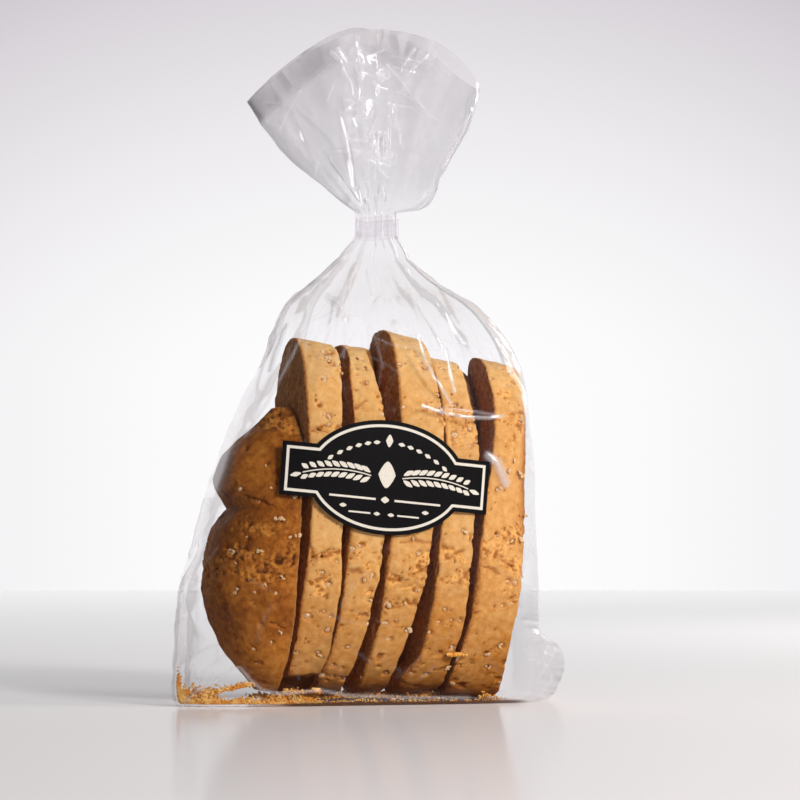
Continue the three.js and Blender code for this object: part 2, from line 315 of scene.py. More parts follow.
def lattice_value(cell, seed):
    """A repeatable number from -1 to 1 for each lattice cell."""
    mixed = cell[:, 0] * 374761393 + cell[:, 1] * 668265263 + cell[:, 2] * 2147483629 + seed * 1274126177
    mixed = (mixed ^ (mixed >> 13)) & 0xFFFFFFFF
    mixed = (mixed * 1274126177) & 0xFFFFFFFF
    mixed = mixed ^ (mixed >> 16)
    return (mixed & 0xFFFFFF) / 0x7FFFFF - 1


def lumps(points, size, seed):
    """Smooth noise from -1 to 1 in lumps of about size mm. size may be one number, or one for each axis."""
    cell = points / np.asarray(size, float)
    base = np.floor(cell).astype(np.int64)
    share = cell - base
    share = share * share * (3 - 2 * share)
    total = np.zeros(len(points))
    for corner in np.ndindex(2, 2, 2):
        corner = np.array(corner)
        weight = np.where(corner == 1, share, 1 - share).prod(axis=1)
        total += weight * lattice_value(base + corner, seed)
    return total


def smooth_step(value, low, high):
    t = np.clip((value - low) / (high - low), 0, 1)
    return t * t * (3 - 2 * t)


def bell(value, middle, spread):
    return np.exp(-((value - middle) / spread) ** 2)


def rounded(share, square):
    """The depth of a rounded section, from 1 at its middle to 0 at its ends."""
    return (1 - np.minimum(1, np.abs(share)) ** square) ** (1 / square)


def read(rows, field):
    """A mesh's points or normals as an array of three columns."""
    flat = np.empty(len(rows) * 3, np.float32)
    rows.foreach_get(field, flat)
    return flat.reshape(-1, 3).astype(float)


def write_points(mesh, points):
    mesh.vertices.foreach_set("co", (points * MM).astype(np.float32).ravel())
    mesh.update()


def write_attributes(mesh, **attributes):
    for name, values in attributes.items():
        layer = mesh.attributes.new(name, "FLOAT", "POINT")
        layer.data.foreach_set("value", values.astype(np.float32))


UPPER_BAND, LOWER_BAND = 103, 52  # the heights where the crust has burst open


def dome_front(z, low, high, front):
    """Y of the loaf's crust at height z, on a slice that stands from low to high."""
    dome = rounded(2 * (z - low) / (high - low) - 1, DOME_POWER)
    return LOAF_WIDEST - (LOAF_WIDEST - front) * dome


def crack_pits(points, crust, seed, ease=0.0):
    """How far the crust is broken open, from 0 to 1: ragged patches of crumb in two bands of height."""
    height = points[:, 2]
    band = bell(height, UPPER_BAND, 8) + 1.1 * bell(height, LOWER_BAND, 12)
    torn = lumps(points, (8, 8, 4.5), seed) + 0.55 * lumps(points, (2.6, 2.6, 1.6), seed + 1)
    torn += 0.35 * lumps(points, 1.2, seed + 2)
    return smooth_step(torn + (0.7 + ease) * band, 0.82, 1.0) * crust


def crack_lines(points, crust, count, seed):
    """Short jagged cracks that run across the crust, from 0 at their sides to 1 along their middles."""
    maker = np.random.default_rng(seed)
    jagged = 1.3 * lumps(points, 3.1, seed) + 0.6 * lumps(points, 1.2, seed + 1)
    open_here = np.zeros(len(points))
    x_low, x_high = points[:, 0].min(), points[:, 0].max()
    for _ in range(count):
        height = maker.choice((maker.normal(UPPER_BAND, 6), maker.normal(LOWER_BAND - 2, 10)))
        middle, reach = maker.uniform(x_low, x_high), maker.uniform(2.5, 7)
        slope = maker.normal(-0.15, 0.35)
        away = points[:, 2] - height - slope * (points[:, 0] - middle) + jagged
        along = np.clip(1 - np.abs(points[:, 0] - middle) / reach, 0, 1)
        line = np.clip(1 - np.abs(away) / (0.9 * np.sqrt(along) + 1e-3), 0, 1) * (points[:, 1] < LOAF_WIDEST)
        open_here = np.maximum(open_here, line)
    return open_here * crust


def pocket_places(points, normals, crust, count, seed):
    """Places on the front of the crust for pockets: their centres, the way it faces there, and radii."""
    maker = np.random.default_rng(seed)
    fronting = (crust > 0.9) & (normals[:, 1] < -0.3)
    chosen = maker.choice(np.flatnonzero(fronting), count)
    return points[chosen], normals[chosen], maker.choice((0.5, 0.55, 0.65, 0.9, 1.1, 1.35), count)


def pockets(points, centres, radii, depth_share):
    """How deep the round pits at these centres are at each point."""
    depth = np.zeros(len(points))
    for centre, radius in zip(centres, radii):
        near = np.flatnonzero(np.abs(points[:, 2] - centre[2]) < radius * 1.3)
        away = np.linalg.norm(points[near] - centre, axis=1) / radius
        depth[near] = np.maximum(depth[near], np.clip(1.3 - away * away, 0, 1) * radius * depth_share)
    return depth


def object_place(wire):
    return wire.node("TexCoord", output=3)


def attributes(wire, *names):
    return (wire.node("Attribute", None, {"attribute_name": name}, 2) for name in names)


def noise(place, scale, detail):
    return place.node("TexNoise", {"Vector": place, "Scale": scale, "Detail": detail})


def bumps(height, strength, depth):
    """Relief in the shading, its depth in mm."""
    sockets = {"Strength": strength, "Distance": depth * MM, "Height": height}
    return height.node("Bump", sockets)


WIDE_POCKET = 0.8  # a pocket with a larger radius holds chips of nut
chip_spots = []  # the places of those chips: centre, direction, radius


def broken_crust(points, normals, crust, seed, ease, crack_count, pocket_count):
    """The torn patches, cracks and roughness of a crust, and the centres and radii of its pockets."""
    torn = crack_pits(points, crust, seed, ease)
    cracks = crack_lines(points, crust, crack_count, seed + 11)
    centres, facing, radii = pocket_places(points, normals, crust, pocket_count, seed + 7)
    wide = radii > WIDE_POCKET
    chip_spots.extend(zip(centres[wide], facing[wide], radii[wide]))
    rough = 0.6 * lumps(points, 1.7, seed + 10) + 0.35 * lumps(points, 1.0, seed + 12)
    return torn, cracks, rough, centres, radii


def biscuit_material():
    """Baked dough: golden crust that browns as its baking attribute rises, which holds painted light and
    shade as well; open crumb on the cut faces.
    """
    material, wire = new_material("baked_dough")
    place = object_place(wire)
    crust, bake, pit, hollow = attributes(wire, "crust", "bake", "pit", "hollow")
    fine = noise(place, 1900.0, 3.0)
    mottle = noise(place, 420.0, 4.0)
    pores = wire.node("TexVoronoi", {"Vector": place, "Scale": 700.0})
    # Real browning together with painted light and shade, carried by the baking attribute.
    browning_and_shade = bake + (mottle - 0.5) * 0.5 + (fine - 0.5) * 0.3
    crust_colour = wire.node("ValToRGB", {0: browning_and_shade}, {"stops": [
        (0.0, (0.84, 0.55, 0.24, 1)), (0.35, (0.66, 0.345, 0.105, 1)), (0.6, (0.50, 0.19, 0.028, 1)),
        (0.8, (0.29, 0.088, 0.009, 1)), (1.0, (0.09, 0.022, 0.004, 1))]})
    # The crumb's own toasted brown, painted darker still as shade for cut faces that stand in the gaps
    # between slices.
    crumb_tone = pores * 0.7 + (mottle - 0.5) * 0.9 + (fine - 0.5) * 0.5 + 0.25
    crumb_and_shade_colour = wire.node("ValToRGB", {0: crumb_tone}, {"stops": [
        (0.0, (0.15, 0.042, 0.008, 1)), (0.5, (0.36, 0.135, 0.030, 1)), (1.0, (0.54, 0.26, 0.08, 1))]})
    torn_tone = (pores * 1.2 + (fine - 0.5)).step(0.1, 0.7)
    torn_pale = torn_tone.blend((0.46, 0.15, 0.020, 1), (0.82, 0.44, 0.13, 1))
    torn_brown = torn_tone.blend((0.24, 0.065, 0.008, 1), (0.56, 0.23, 0.04, 1))
    torn_colour = bake.step(0.35, 0.55).blend(torn_pale, torn_brown)
    open_crumb = crust.blend(crumb_and_shade_colour, crust_colour)
    # Painted shade in pits, cracks, torn hollows and a broken foot: the crumb's orange-brown, painted nearly
    # black where deepest.
    hollow_shade_colour = hollow.step(0.65, 1.0).blend((0.33, 0.095, 0.011, 1), (0.07, 0.02, 0.004, 1))
    colour = hollow.blend(pit.blend(open_crumb, torn_colour), hollow_shade_colour)
    relief = fine * 0.5 + mottle * 0.5 + (1 - crust).at_least(pit) * pores.step(0, 0.5) * 0.8
    bump = bumps(relief, 0.5, 0.35)
    finish_material(wire, principled(wire, {
        "Base Color": colour,
        "Roughness": 0.7,
        "Specular IOR Level": 0.1,
        "Coat Weight": crust * 0.12,
        "Coat Roughness": 0.42,
        "Normal": bump,
    }))
    return material


baked_dough = biscuit_material()


def skinned(bm, name):
    """A piece of dough with an even skin of small faces, its mesh, and its points."""
    piece = object_from(bm, name, [baked_dough])
    skin = piece.modifiers.new("skin", "REMESH")
    skin.mode, skin.voxel_size = "VOXEL", VOXEL * MM
    skin.use_smooth_shade = True
    fine = bpy.data.meshes.new_from_object(piece.evaluated_get(bpy.context.evaluated_depsgraph_get()))
    piece.modifiers.clear()
    piece.data = fine
    fine.materials.clear()
    fine.materials.append(baked_dough)
    return piece, fine, read(fine.vertices, "co") / MM


# how easily the crust has burst, on the slices at the left and at the right, then its cracks and pockets
LEFT_BURST, RIGHT_BURST = (0.04, 5, 56), (0.14, 5, 56)


def left_face(spec, y, z):
    """X of a slice's left cut face at depth y and height z."""
    yaw, top, bottom, front_left, front_right, edges = spec
    heights, lefts, rights = (np.array(row[::-1]) for row in zip(*edges))
    behind_crust = y - dome_front(z, bottom, top, front_left)
    return np.interp(z, heights, lefts) - math.tan(math.radians(yaw)) * behind_crust


def touching(right, neighbour, y, z):
    """A right cut face's X, brought over behind its front until it touches the neighbour's left face."""
    top, bottom, front = SLICES[neighbour][1:4]
    gap = left_face(SLICES[neighbour], y, z) - SLICE_GAP - right
    return right + gap * smooth_step(y - dome_front(z, bottom, top, front), 7, 20)


def thicken(bm, vec):
    """Flat work extruded by vec into a solid."""
    far_side = bmesh.ops.extrude_face_region(bm, geom=bm.faces[:])
    moved = [part for part in far_side["geom"] if isinstance(part, bmesh.types.BMVert)]
    bmesh.ops.translate(bm, verts=moved, vec=vec)


def bake_slice(name, number, yaw, top, bottom, front_left, front_right, edges):
    """One slice: a prism with the loaf's outline, skinned in small faces, bent, browned, torn and pitted."""
    heights, lefts, rights = (np.array(row[::-1]) for row in zip(*edges))
    thick = float(np.mean(rights - lefts))
    bm = bmesh.new()
    bmesh.ops.create_circle(bm, cap_ends=True, segments=120, radius=1)
    middle, half = (top + bottom) / 2, (top - bottom) / 2
    for vert in bm.verts:
        forward, up = vert.co.x, vert.co.y
        power = DOME_POWER if forward > 0 else BASE_POWER
        depth = LOAF_WIDEST - LOAF_FRONT if forward > 0 else LOAF_BASE - LOAF_WIDEST
        y = LOAF_WIDEST - math.copysign(abs(forward) ** (2 / power), forward) * depth
        z = middle + math.copysign(abs(up) ** (2 / power), up) * half
        vert.co = (0, y * MM, z * MM)
    thicken(bm, (thick * MM, 0, 0))
    bmesh.ops.recalc_face_normals(bm, faces=bm.faces)
    piece, mesh, points = skinned(bm, name)
    flat_x, y, z = points.T
    near_front = smooth_step(dome_front(z, bottom, top, LOAF_FRONT) + 3 - y, 0, 2)
    from_face = np.minimum(flat_x, thick - flat_x + 0.8 * near_front)
    crust = smooth_step(from_face, 0.15, 1.0)
    share = np.clip(flat_x / thick, 0, 1)
    front = front_left + (front_right - front_left) * share
    z_high = top - TOP_FALL[name] * (share - 0.5) * smooth_step(z, 90, top)
    dome = dome_front(z, bottom, top, front)
    lean = math.tan(math.radians(yaw)) * (y - dome)
    left = np.interp(z, heights, lefts) - lean
    right = np.interp(z, heights, rights) - lean
    if number < len(SLICES):
        right = touching(right, f"slice_{number + 1}", y, z)
    points[:, 0] = left + (right - left) * share
    points[:, 1] = y + (front - LOAF_FRONT) * smooth_step(-y, -6, 20)
    broken_to = BROKEN_FOOT.get(name, -9) + 1.2 * lumps(points, 4, 77)
    lost = smooth_step(broken_to - z, 0, 0.8) * smooth_step(-y, -8, 0)
    points[:, 1] += lost * (6 + 2 * lumps(points, 3, 78))
    points[:, 2] = z + (z_high - top)
    write_points(mesh, points)
    normals = read(mesh.vertex_normals, "vector")
    seed = 40 * number
    burst = RIGHT_BURST if number > 2 else LEFT_BURST
    torn, cracks, rough, centres, radii = broken_crust(points, normals, crust, seed, *burst)
    narrow = radii <= WIDE_POCKET
    bubbles = pockets(points, centres, np.where(narrow, radii * 1.1, radii), 0.8)
    pinholes = pockets(points, centres[narrow], radii[narrow], 0.9)
    wavy = 0.55 * lumps(points, 13, seed + 3) + 0.22 * lumps(points, 5, seed + 4)
    wavy += 0.14 * lumps(points, 2.7, seed + 14)
    grainy = 0.1 * lumps(points, 1.6, seed + 5)
    holes = smooth_step(lumps(points, 2.6, seed + 6), 0.35, 0.8) * (1 - crust)
    corner = smooth_step(1.8 - from_face, 0, 1.8) * crust
    out = wavy + grainy - 0.7 * holes - (0.5 - 1.3 * rough) * torn - 1.3 * cracks - bubbles
    out -= corner * (0.15 + 0.5 * lumps(points, 3.2, seed + 8))
    points += normals * out[:, None]
    write_points(mesh, keep_in_film(points))
    height = (points[:, 2] - bottom) / (top - bottom)
    # Painted shade and real browning: the crust is darker towards the bottom, partly baked browner there and
    # partly painted shade.
    bake = 0.24 + 0.24 * smooth_step(0.55 - height, 0, 0.55) + 0.1 * lumps(points, 16, seed + 9)
    # Painted light and shade: the slices to the right are painted darker, and every crust is painted lighter
    # near its top.
    bake += PAINTED_SHADE.get(name, 0) - 0.14 * smooth_step(height, 0.8, 0.97)
    # Browner towards the loaf's flat base and along the crust's edges, and darker again at the very foot.
    bake += 0.3 * smooth_step(points[:, 1], 8, LOAF_BASE) + 0.12 * smooth_step(from_face, 1.6, 0.2)
    bake += 0.14 * smooth_step(0.07 - height, 0, 0.07)
    # Painted shade: how dark the pits, cracks and torn hollows are painted, and the broken foot nearly black.
    hollow = 0.4 * smooth_step(bubbles, 0.2, 0.8) + 0.95 * smooth_step(pinholes, 0.2, 0.5) + 0.8 * cracks
    hollow += 0.75 * smooth_step(-rough, 0.0, 0.3) * torn
    hollow = np.clip(np.maximum(hollow, 0.86 * lost), 0, 0.98)
    write_attributes(mesh, crust=crust, bake=bake, pit=torn * 0.9, hollow=hollow)
    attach(piece, "root")
    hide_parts("bag")


for i, (name, spec) in enumerate(SLICES.items()):
    bake_slice(name, i + 1, *spec)

# ---------- Heel ----------
# The end of the loaf, dark and hard baked, standing at the left with its one cut face against the first
# slice. It is all crust: a lumpy half dome with creases and burst bubbles.
HEEL_YAW = 6.5
VIEW_SLOPE = -math.tan(VIEW_TURN)  # how far an outline's place along X moves for each mm that it lies deeper
HEEL_FACE = np.array([
    # height, and the cut face's front edge along X
    (3, -40.9), (9, -38.9), (12, -38.3), (16, -36.8), (23, -35.3), (31, -33.9), (38, -33.5), (46, -33.3),
    (52, -32.4), (59, -32), (73, -31.4), (95, -31.2), (99, -32.5), (106, -34.5),
])
HEEL_LOW, HEEL_HIGH = 3.5, 107
HEEL_SIDE = np.array([
    # height, and the left side's place along X
    (3, -40.4), (9.5, -45.4), (12.7, -48.4), (16.7, -51.8), (21.1, -54.5), (25.5, -56), (30.2, -58.3),
    (35.7, -60.2), (41.1, -61.3), (46.6, -60.9), (52.1, -60.2), (57.5, -59), (63, -57.1), (66.5, -54.6),
    (70, -51.2), (73.9, -53.4), (77.5, -56), (81.2, -57.1), (84.8, -56.4), (88.5, -54.1), (92.1, -50.3),
    (95.4, -47.3), (100.1, -41.5), (105.6, -35), (108, -34),
])
HEEL_REACH, HEEL_DEPTH = 28, 21  # of the half dome before it is shaped
HEEL_AHEAD = 3  # how far its middle is in front of the bag's
HEEL_BURST = (0.35, 14, 96)


def cut_across(bm, axis, place, **settings):
    """Cuts a whole mesh where an axis passes a place in mm."""
    middle, way = [0, 0, 0], [0, 0, 0]
    middle[axis], way[axis] = place * MM, 1
    every_part = bm.verts[:] + bm.edges[:] + bm.faces[:]
    return bmesh.ops.bisect_plane(bm, geom=every_part, plane_co=middle, plane_no=way, **settings)


def bake_heel():
    middle, half = (HEEL_LOW + HEEL_HIGH) / 2, (HEEL_HIGH - HEEL_LOW) / 2
    bm = bmesh.new()
    bmesh.ops.create_icosphere(bm, subdivisions=5, radius=1)
    cut = cut_across(bm, 0, 0, clear_outer=True)
    rim = [part for part in cut["geom_cut"] if isinstance(part, bmesh.types.BMEdge)]
    bmesh.ops.contextual_create(bm, geom=rim)
    bmesh.ops.scale(bm, verts=bm.verts, vec=(HEEL_REACH * MM, HEEL_DEPTH * MM, half * MM))
    bmesh.ops.translate(bm, verts=bm.verts, vec=(0, -HEEL_AHEAD * MM, middle * MM))
    piece, mesh, points = skinned(bm, "loaf_heel")
    flat_x, y, z = points.T
    crust = smooth_step(-flat_x, 0.15, 1.0)
    fullness = np.sqrt(np.clip(1 - ((z - middle) / half) ** 2, 0.04, 1))
    foremost = -HEEL_AHEAD - HEEL_DEPTH * fullness
    turned = math.tan(math.radians(HEEL_YAW))
    face = np.interp(z, *HEEL_FACE.T) + VIEW_SLOPE * (foremost + HEEL_AHEAD + HEEL_DEPTH)
    outermost = 9 * fullness - HEEL_AHEAD
    side = np.interp(z, *HEEL_SIDE.T) + VIEW_SLOPE * (outermost - 6)
    wanted = np.maximum(face - turned * (outermost - foremost) - side, 3)
    wanted /= 0.9 * (1 + 0.046 * fullness ** 2)
    fuller = 0.25 * np.clip((y + HEEL_AHEAD) / HEEL_DEPTH, -1, 1) ** 2
    flat_face = face - turned * (y - foremost)
    points[:, 0] = flat_face + flat_x * (wanted / (HEEL_REACH * fullness)) * (1 + fuller)
    points[:, 0] += np.where(flat_x > -6, touching(flat_face, "slice_1", y, z) - flat_face, 0)
    squarer = 1 + 0.18 * np.clip(np.abs(flat_x) / HEEL_REACH, 0, 1)
    points[:, 1] = (y + HEEL_AHEAD) * squarer - HEEL_AHEAD
    write_points(mesh, points)
    normals = read(mesh.vertex_normals, "vector")
    seed = 400
    torn, cracks, rough, centres, radii = broken_crust(points, normals, crust, seed, *HEEL_BURST)
    bubbles = pockets(points, centres, radii, 0.8)
    wavy = 0.9 * lumps(points, 14, seed + 3) + 0.35 * lumps(points, 6, seed + 4)
    out = (wavy - (0.5 - 1.3 * rough) * torn - 1.3 * cracks - bubbles) * (0.35 + 0.65 * crust)
    points += normals * (out + 0.1 * lumps(points, 1.5, seed + 5))[:, None]
    write_points(mesh, keep_in_film(points))
    bake = 0.685 + 0.12 * lumps(points, 15, seed + 9) + 0.06 * lumps(points, 5, seed + 13)
    # Painted shade: darker towards the heel's far left end, which turns away from the light.
    bake += 0.12 * smooth_step(-flat_x, 12, 26)
    # Painted light: lighter at the top next to the cut face, where the light falls; also lighter towards the
    # bottom.
    painted_light_top = 0.36 * smooth_step(points[:, 2], 84, 104) * (flat_x > -9)
    bake -= painted_light_top + 0.17 * smooth_step(40 - points[:, 2], 0, 30)
    # Painted shade: how dark the heel's pits, cracks and torn hollows are painted.
    hollow = 0.4 * smooth_step(bubbles, 0.2, 0.8) + cracks + 0.9 * smooth_step(-rough, 0.0, 0.3) * torn
    write_attributes(mesh, crust=crust, bake=bake, pit=torn * 0.8, hollow=np.clip(hollow, 0, 0.98))
    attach(piece, "root")
    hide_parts("bag")


bake_heel()

# ---------- Nut chips ----------
# Pale chips of nut that show in the crust, each a small broken piece sunk by half into the front of a slice
# or of the heel.
CHIPS_FACE = -0.55  # none where the crust turns away from the front, past this Y of its direction


def grainy_material(name, grains, edges, dark, light, relief, roughness):
    """Two colours in grains of a scale and detail, with edges from one to the other, and their relief."""
    material, wire = new_material(name)
    grain = noise(object_place(wire), *grains)
    colour = grain.step(*edges).blend(dark, light)
    bump = bumps(grain, *relief)
    finish_material(wire, principled(wire, {"Base Color": colour, "Roughness": roughness, "Normal": bump}))
    return material


def add_chip(bm, place, outward, size, flat, spin):
    """A few-faced broken lump of a given size in mm, lying on a surface that faces outward."""
    made = bmesh.ops.create_icosphere(bm, subdivisions=1, radius=size * 0.5 * MM)
    turn = Vector((0, 0, 1)).rotation_difference(outward).to_matrix().to_4x4()
    for vert in made["verts"]:
        vert.co *= random.uniform(0.6, 1.25)
    bmesh.ops.scale(bm, verts=made["verts"], vec=(random.uniform(0.9, 1.3), random.uniform(0.5, 0.9), flat))
    bmesh.ops.rotate(bm, verts=made["verts"], matrix=Matrix.Rotation(spin, 3, "Z"))
    bmesh.ops.transform(bm, verts=made["verts"], matrix=Matrix.Translation(place) @ turn)


def scatter(name, material, chips):
    """One mesh of many chips, put together in batches."""
    bm = bmesh.new()
    for first in range(0, len(chips), 60):
        batch = bmesh.new()
        for chip in chips[first:first + 60]:
            add_chip(batch, *chip)
        part = bpy.data.meshes.new("batch")
        batch.to_mesh(part)
        batch.free()
        bm.from_mesh(part)
        bpy.data.meshes.remove(part)
    return object_from(bm, name, [material], smooth=False)


chips = []
for centre, way, radius in chip_spots:
    for _ in range(random.choice((1, 1, 2, 3))):
        size = radius * random.uniform(1.0, 2.1)
        stray = Vector((random.gauss(0, 1), 0, random.gauss(0, 1))) * radius * 0.45
        sunk = Vector(centre) + stray - Vector(way) * radius * random.uniform(0.35, 0.65)
        chip = (sunk * MM, Vector(way), size, random.uniform(0.4, 0.7), random.uniform(0, math.tau))
        if way[1] < CHIPS_FACE:
            chips.append(chip)
pale_nut = grainy_material("pale_nut", grains=(1500, 3), edges=(0.35, 0.65), dark=(0.60, 0.36, 0.16, 1),
                           light=(0.80, 0.60, 0.37, 1), relief=(0.4, 0.2), roughness=0.55)
nut_chips = scatter("nut_chips", pale_nut, chips)
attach(nut_chips, "root")

# ---------- Crumbs ----------
# Loose crumbs that have fallen to the bottom of the bag. They lie along its front fold and heap up in its
# left corner, and one chunk has caught between two slices.
CRUMB_ROWS = [
    # from X, Y, Z to X, Y, Z, how far they stray, how high they pile, how many, and the largest size
    ((-74.5, -16, 0), (-63, -19, 0), 1.8, 2.4, 900, 1.5), ((-75, -16, 2), (-74, -16, 9), 0.7, 1.4, 190, 1.2),
    ((-70, -21, 0), (-26, -26, 0), 1.0, 0.9, 1200, 1.25), ((-73, -16, 1), (-46, -11, 6), 0.9, 0.7, 520, 1.2),
    ((-38, -21, 0), (46, -25, 0), 1.0, 0.6, 230, 1.0), ((-36, -14, 3.5), (-23, -18, 3), 1.2, 0.6, 190, 1.1),
    ((-34, 5, 0), (45, 3, 0), 2.0, 1.0, 1100, 1.6), ((-25.5, -21, 3.5), (-23.5, -22, 3.5), 0.4, 0.4, 9, 2.6),
    ((24.3, -18.6, 16.1), (31.8, -18.8, 15.9), 0.25, 0.1, 26, 2.4),
    ((-40, 14, 0), (46, 12, 0), 2.5, 1.0, 700, 1.8), ((42, -12, 0), (46, 12, 0), 2.0, 0.8, 60, 1.4),
]
CORNER_X, CORNER_Y = -58, -16  # where the bag's left corner starts, and how deep it lies
CORNER_REACH, CORNER_SPREAD = 7, 6.5  # how far crumbs reach into it, and how far from its depth
chips = []
for start, end, stray, pile, count, largest in CRUMB_ROWS:
    for _ in range(count):
        size = largest * random.uniform(0.45, 1)
        place = Vector(start).lerp(Vector(end), random.uniform(0, 1))
        place += Vector((random.gauss(0, stray), random.gauss(0, stray * 0.5), 0.6 + size * 0.35))
        place.z += abs(random.gauss(0, pile))
        corner = min(max((CORNER_X - place.x) / 8, 0), 1) * CORNER_REACH
        corner *= math.exp(-abs(place.y - CORNER_Y) / CORNER_SPREAD)
        place = keep_in_film(np.array([place + Vector((corner, 0, 0))]), gap=0.7 + size * 0.5)[0]
        place[0] -= corner
        tilt = Vector((random.gauss(0, 0.5), random.gauss(0, 0.5), 1)).normalized()
        chips.append((Vector(place) * MM, tilt, size, random.uniform(0.6, 0.95), random.uniform(0, math.tau)))
loose_crumb = grainy_material("loose_crumb", grains=(260, 2), edges=(0.4, 0.62), dark=(0.80, 0.35, 0.05, 1),
                              light=(0.95, 0.62, 0.20, 1), relief=(0.5, 0.3), roughness=0.75)
crumbs = scatter("loose_crumbs", loose_crumb, chips)
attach(crumbs, "root")
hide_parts("bag")

# ---------- Film round the biscotti ----------
# The body of the bag: clear polypropylene film, about 0.04 mm thick, shown as one skin. It is gusseted at
# the bottom, pulled over the biscotti, drawn in to the neck, and creased where it was handled.
BODY_TOP = 173.2  # where the film goes on under the tape as the fan
FOLDS_FROM = 112  # where it starts to gather in folds
DRAWN_FROM = 162  # where it starts to be drawn in to the round neck
NECK_X, NECK_RADIUS, NECK_FROM = 2.8, 8.2, 172
NECK_FOLD, NECK_PLEAT = 0.16, 0.22  # how deep its folds are, as a share, and its pleats in mm
BODY_COLUMNS, BODY_ROWS = ((346, 276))
FLOOR_ROWS = 0.05  # the share of the rows that close the bottom
FRONT_CROWDING = 0.55  # columns stand closer together on the front
EARS = [
    # side, depth, spread, reach, share at the floor, fullest height, top
    (-1, -16, 6.5, 8.1, 1, 40, 68), (1, -4, 9, 11.8, 0.6, 16, 28),
]
GAPS = [(-30.4, 0.06), (-14.3, 0.082), (0.6, 0.096), (18, 0.13), (34, 0.11)]  # X at 60 mm up, and lean
GAP_SINK, GAP_REACH = 0.75, 3.2  # how deep the film sinks into a gap, and how wide
LABEL_X, LABEL_Z, LABEL_TILT = -0.8, 81, math.radians(-5.4)
# Creases of the front: how wide each one's fold is, how high it stands, how bright a painted highlight runs
# along it as a scuffed line and how wide that is, then its points as X and Z in turn.
FRONT_CREASES = [
    (5, 0.9, 1, 0.5, 10.9, 147.7, 16.2, 138.4, 21.3, 128.5),
    (4, 0.7, 0.85, 0.4, 13.1, 132.4, 14.8, 124.4, 17.8, 117.1, 23.9, 107.8),
    (4, 0.6, 0.7, 0.7, 23.1, 127.4, 23.7, 119.4, 25.3, 112.2),
    (4, 0.7, 0.8, 0.4, -32.2, 136.1, -36.3, 127.3, -39.6, 119.1),
    (5, 0.6, 0.25, 0.4, -32.4, 135.3, -43.5, 108.8, -47.5, 98),
    (4, 0.6, 0.35, 0.4, -29.5, 130.6, -41.2, 108.7, -49.5, 95.5),
    (6, 0.9, 0.75, 1.3, -18.5, 146.6, -15, 143, -14, 138.6),
    (4, 0.6, 0.8, 0.7, -3.7, 156.1, -3.2, 151.2, -3, 147),
    (5, 0.8, 0.1, 0.5, -0.7, 164.5, -5.1, 156.8, -9.8, 149.1),
    (6, 0.9, 0.15, 0.5, -0.4, 160, 1.5, 149.3, 6.1, 139.7, 10.4, 131.7),
    (4, 0.6, 0.5, 0.4, 7.5, 160.1, 10, 152.6, 12.3, 147.3),
    (6, 0.9, 0.1, 0.5, -10.1, 160, -16.8, 151.2, -21.8, 145.5),
    (4, 0.5, 0.3, 0.4, -24.7, 137.3, -16.8, 140.9, -9.9, 138.7, -1.7, 133.7),
    (7, 1, 0.1, 0.5, 11.4, 157.3, 22.4, 146.3, 34, 135.3, 47.4, 125.3),
    (4, 0.6, 0.15, 0.5, 17.6, 132.9, 24.7, 129.6, 45.4, 127.8, 56, 126.3),
    (4, 0.5, 0.2, 0.4, -5, 132, 3, 129, 12, 127.5, 20, 127),
    (4, 0.5, 0.9, 0.4, 12.9, 106.9, 19.6, 104.8, 29, 103.1, 38.6, 102.9, 44.2, 103.7),
    (3, 0.3, 0.4, 0.35, 19.6, 106.2, 31, 105.3, 41, 104),
    (6, 0.8, 0.8, 1.6, 37.4, 88.8, 41.2, 86.9, 44.3, 79.4),
    (4, 0.6, 0.35, 0.5, 57.8, 95.4, 57.2, 73.4, 58.5, 51.5, 58.4, 29.7),
    (6, 0.6, 0.25, 1.6, 52.2, 111.6, 54.5, 98.9, 54.7, 91.6),
    (4, 0.7, 0.2, 0.5, -60.1, 73.2, -64, 58.8, -67.5, 42.9, -68, 27.1, -67, 15.8),
    (4, 0.8, 0.9, 0.5, -72, 25.6, -71.5, 20, -70.3, 15.1, -67.7, 10.6, -65, 8.2),
    (3, 0.5, 0.7, 0.5, -68.2, 27.1, -69.2, 21.8, -68, 18),
    (4, 0.9, 0.5, 0.45, -72, 1.7, -67, 6.1, -59.7, 10.3, -56, 13.8, -53.6, 13.8, -50.1, 9.6, -45.9,
     6, -39.4, 4.6, -25, 5.8, -15.9, 3.9, 4.3, 2.9, 30, 2.4),
    (3, 0.5, 0.8, 0.6, -67, 6.4, -63, 8.5, -59.7, 11),
    (3, 0.6, 0.8, 0.5, 53.5, 25.5, 59.5, 23.5, 64.4, 21.8, 70, 19.8),
    (4, 0.7, 0.3, 0.5, 64, 15.1, 59, 11, 56, 6.7),
    (3, 0.6, 0.4, 0.5, 66, 6.6, 60.9, 4.3, 54.2, 2.4, 42.1, 1.6),
]


def distance_to_line(across, up, xs, zs):
    """The distance in mm from points of a flat surface to a broken line on it."""
    nearest = np.full(len(across), 1e9)
    for x1, z1, x2, z2 in zip(xs, zs, xs[1:], zs[1:]):
        run_x, run_z = x2 - x1, z2 - z1
        share = np.clip(((across - x1) * run_x + (up - z1) * run_z) / (run_x ** 2 + run_z ** 2), 0, 1)
        away = np.hypot(across - x1 - share * run_x, up - z1 - share * run_z)
        nearest = np.minimum(nearest, away)
    return nearest


